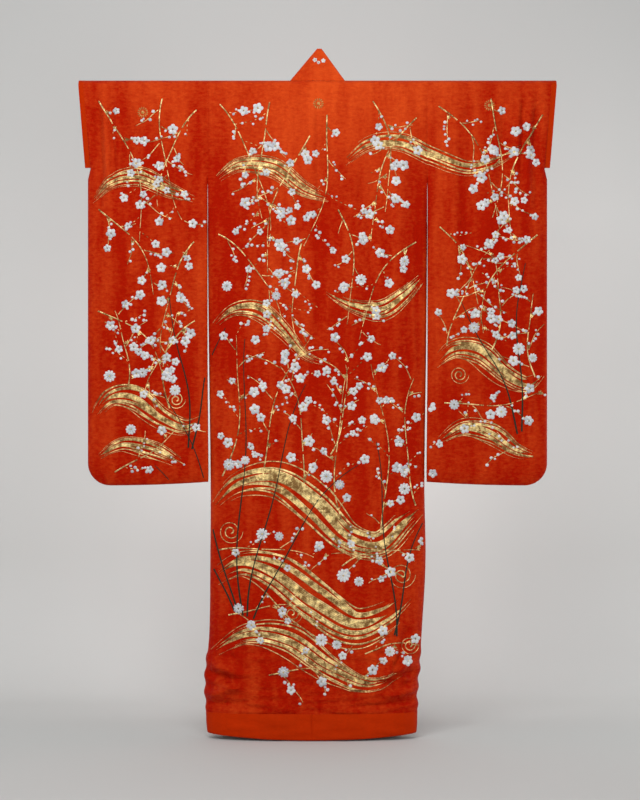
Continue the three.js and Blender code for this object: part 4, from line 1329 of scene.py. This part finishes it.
class KIMONO_OT_blooms(BuildStep):
    """Stitches the rosettes beside the stream"""

    bl_idname = "kimono.blooms"
    bl_label = "Rosettes"

    def build(self, scene):
        style = scene.kimono_thread
        white, grey, hearts = Stitches(BACK), Stitches(BACK), Stitches(BACK)
        for number, bloom in enumerate(BLOOMS):
            x, drop, radius = bloom["x"], bloom["drop"], bloom["radius"]
            for ring, (share, count) in enumerate(ROSETTE_RINGS):
                petals, reach = grey if (number + ring) % 3 == 0 else white, radius * share
                for i in range(count):
                    angle = (i + 0.5 * ring) * math.tau / count + number
                    height = ROSETTE_RISE + ROSETTE_STEP * ring
                    petals.petal(x, drop, angle, reach, reach * ROSETTE_PETAL, height, ROSETTE_TAPER)
            hearts.disc(x, drop, radius * ROSETTE_HEART, ROSETTE_HEART_RISE, 9)
        white.make("rosette_white", white_floss(style))
        grey.make("rosette_grey", silver_floss(style))
        hearts.make("rosette_hearts", gold_thread(style))


class KIMONO_OT_blades(BuildStep):
    """Stitches the dark grass blades"""

    bl_idname = "kimono.blades"
    bl_label = "Grass blades"

    def build(self, scene):
        blades = Stitches(BACK)
        for row in BLADES:
            x, drop, _ = grown(row)
            blades.band(x, drop, np.linspace(*BLADE_WIDTHS, len(x)), BLADE_RISE)
        blades.make("grass_blades", green_thread(scene.kimono_thread))


class KIMONO_OT_crests(BuildStep):
    """Stitches the plain gold roundels of the shoulders and the sprig on the collar's peak"""

    bl_idname = "kimono.crests"
    bl_label = "Roundels and collar sprig"

    def build(self, scene):
        style = scene.kimono_thread
        gold = Stitches(BACK)
        for crest in CRESTS:
            x, drop, radius = crest["x"], crest["drop"], crest["radius"]
            for i in range(CREST_STITCHES):
                angle = i * math.tau / CREST_STITCHES
                sizes = (radius * CREST_LENGTH, radius * CREST_WIDTH, CREST_RISE, CREST_TAPER, 6)
                gold.ray(x, drop, radius * CREST_ROOT, angle, *sizes)
            gold.disc(x, drop, radius * CREST_HEART, CREST_HEART_RISE, 12)
        gold.make("crest_roundels", dull_gold(style))
        flowers, sprig = Stitches(BACK, collar_skin), Stitches(BACK, collar_skin)
        for x, drop, radius in COLLAR_FLOWERS:
            blossom(flowers, flowers, sprig, x, drop, radius, x, ())
        for x, angle in COLLAR_LEAVES:
            sprig.petal(x, COLLAR_LEAF_DROP, angle, 12, 2.4, 0.8)
        flowers.make("collar_flowers", white_floss(style))
        sprig.make("collar_twig", gold_thread(style))


# In metres: the lamps with the setting for their strength and its share, their place, aim and size.
LIGHTS = (
    ("Key", "key", 1.0, (-1.2, -2.3, 1.2), (0, 0, -0.7), 1.1),
    ("Top", "key", 0.08, (0.1, -1.2, 0.8), (0.05, 0, -0.1), 0.5),
    ("Floor", "key", 0.37, (0, -2.2, 0.4), (0, -0.6, -1.775), 1.0),
    ("Fill", "fill", 1.0, (0.5, -3.9, -1.0), (0, 0, -1.0), 2.2),
    ("Backdrop left", "back", 0.6, (-2.3, 0.25, -0.65), (0.3, 0.95, -0.75), 1.0),
    ("Backdrop right", "back", 1.4, (2.3, 0.25, -0.9), (-0.3, 0.95, -0.9), 1.0),
    ("Backdrop middle", "back", 1.05, (0, 0.2, -0.75), (0, 0.95, -0.75), 0.8),
)
CAMERA_X, CAMERA_Z, CAMERA_SENSOR, CLOTH_NEARER = 0.0068, -0.8547, 36.0, 0.03
# In millimetres: the backdrop's floor and wall, and the bend between them.
FLOOR_GAP, FLOOR_FRONT, WALL_BEHIND, WALL_TOP = 1.5, -6500.0, 950.0, 3600.0
BACKDROP_BEND, BACKDROP_HALF = 420.0, 5200.0


class KIMONO_OT_stage(BuildStep):
    """Makes the pale floor and backdrop, the soft lights and the camera"""

    bl_idname = "kimono.stage"
    bl_label = "Stage, lights and camera"

    def build(self, scene):
        stage = scene.kimono_stage
        self.backdrop(scene, stage)
        world = bpy.data.worlds.new("Studio")
        world.use_nodes = True
        world.node_tree.nodes["Background"].inputs["Color"].default_value = (0.96, 0.98, 1.0, 1)
        world.node_tree.nodes["Background"].inputs["Strength"].default_value = stage.ambient
        scene.world = world
        for name, setting, share, place, aim, size in LIGHTS:
            data = bpy.data.lights.new(name, "AREA")
            data.energy, data.size = getattr(stage, setting) * share, size
            lamp = bpy.data.objects.new(name, data)
            lamp.location = place
            lamp.visible_camera = False
            lamp.rotation_euler = Vector(np.array(aim) - place).to_track_quat("-Z", "Y").to_euler()
            scene.collection.objects.link(lamp)

        data = bpy.data.cameras.new("Camera")
        data.sensor_width = CAMERA_SENSOR
        data.lens = data.sensor_width / stage.view_height * (stage.distance - CLOTH_NEARER)
        camera = bpy.data.objects.new("Camera", data)
        camera.location = (CAMERA_X, -stage.distance, CAMERA_Z)
        camera.rotation_euler = (math.pi / 2, 0, 0)
        scene.collection.objects.link(camera)
        scene.camera = camera
        scene.view_settings.view_transform = "Standard"

    def backdrop(self, scene, stage):
        """A pale sweep of floor and wall that can't be seen from behind."""
        foot = -HEM_DROP - FLOOR_GAP
        profile = [(FLOOR_FRONT, foot)]
        for a in np.linspace(0, math.pi / 2, 13):
            y = WALL_BEHIND - BACKDROP_BEND + BACKDROP_BEND * math.sin(a)
            profile.append((y, foot + BACKDROP_BEND * (1 - math.cos(a))))
        profile.append((WALL_BEHIND, WALL_TOP))
        points = [(x, y, z) for y, z in profile for x in (-BACKDROP_HALF, BACKDROP_HALF)]
        faces = [[2 * k, 2 * k + 1, 2 * k + 3, 2 * k + 2] for k in range(len(profile) - 1)]
        paper, shader = new_material("Backdrop paper", Base_Color=opaque(stage.paper), Roughness=0.9)
        facing = paper.node_tree.nodes.new("ShaderNodeNewGeometry")
        seen = math_node(paper.node_tree, "SUBTRACT", 1.0, facing.outputs["Backfacing"])
        paper.node_tree.links.new(seen, shader.inputs["Alpha"])
        mesh = bpy.data.meshes.new("backdrop")
        mesh.from_pydata((np.array(points) * MM).tolist(), [], faces)
        mesh.materials.append(paper)
        mesh.shade_smooth()
        sweep = bpy.data.objects.new("backdrop", mesh)
        scene.collection.objects.link(sweep)


STEPS = (
    KIMONO_OT_rod, KIMONO_OT_body, KIMONO_OT_sleeves, KIMONO_OT_collar, KIMONO_OT_hem, KIMONO_OT_stream,
    KIMONO_OT_sprays, KIMONO_OT_blooms, KIMONO_OT_blades, KIMONO_OT_crests, KIMONO_OT_stage,
)
SETTINGS = {"kimono_silk": KimonoSilk, "kimono_thread": KimonoThread, "kimono_stage": KimonoStage}


class KIMONO_PT_panel(bpy.types.Panel):
    """Lists the steps and their settings"""

    bl_label = "Kimono"
    bl_space_type = "VIEW_3D"
    bl_region_type = "UI"
    bl_category = "Kimono"

    def draw(self, context):
        for step in STEPS:
            self.layout.operator(step.bl_idname)
        for key, made in SETTINGS.items():
            box = self.layout.box()
            for name in made.__annotations__:
                box.prop(getattr(context.scene, key), name)


CLASSES = (*SETTINGS.values(), *STEPS, KIMONO_PT_panel)


def register():
    for made in CLASSES:
        bpy.utils.register_class(made)
    for key, made in SETTINGS.items():
        setattr(bpy.types.Scene, key, bpy.props.PointerProperty(type=made))


def unregister():
    for key in SETTINGS:
        delattr(bpy.types.Scene, key)
    for made in reversed(CLASSES):
        bpy.utils.unregister_class(made)


def main():
    register()
    for step in STEPS:
        group, name = step.bl_idname.split(".")
        getattr(getattr(bpy.ops, group), name)()


if __name__ == "__main__":
    main()
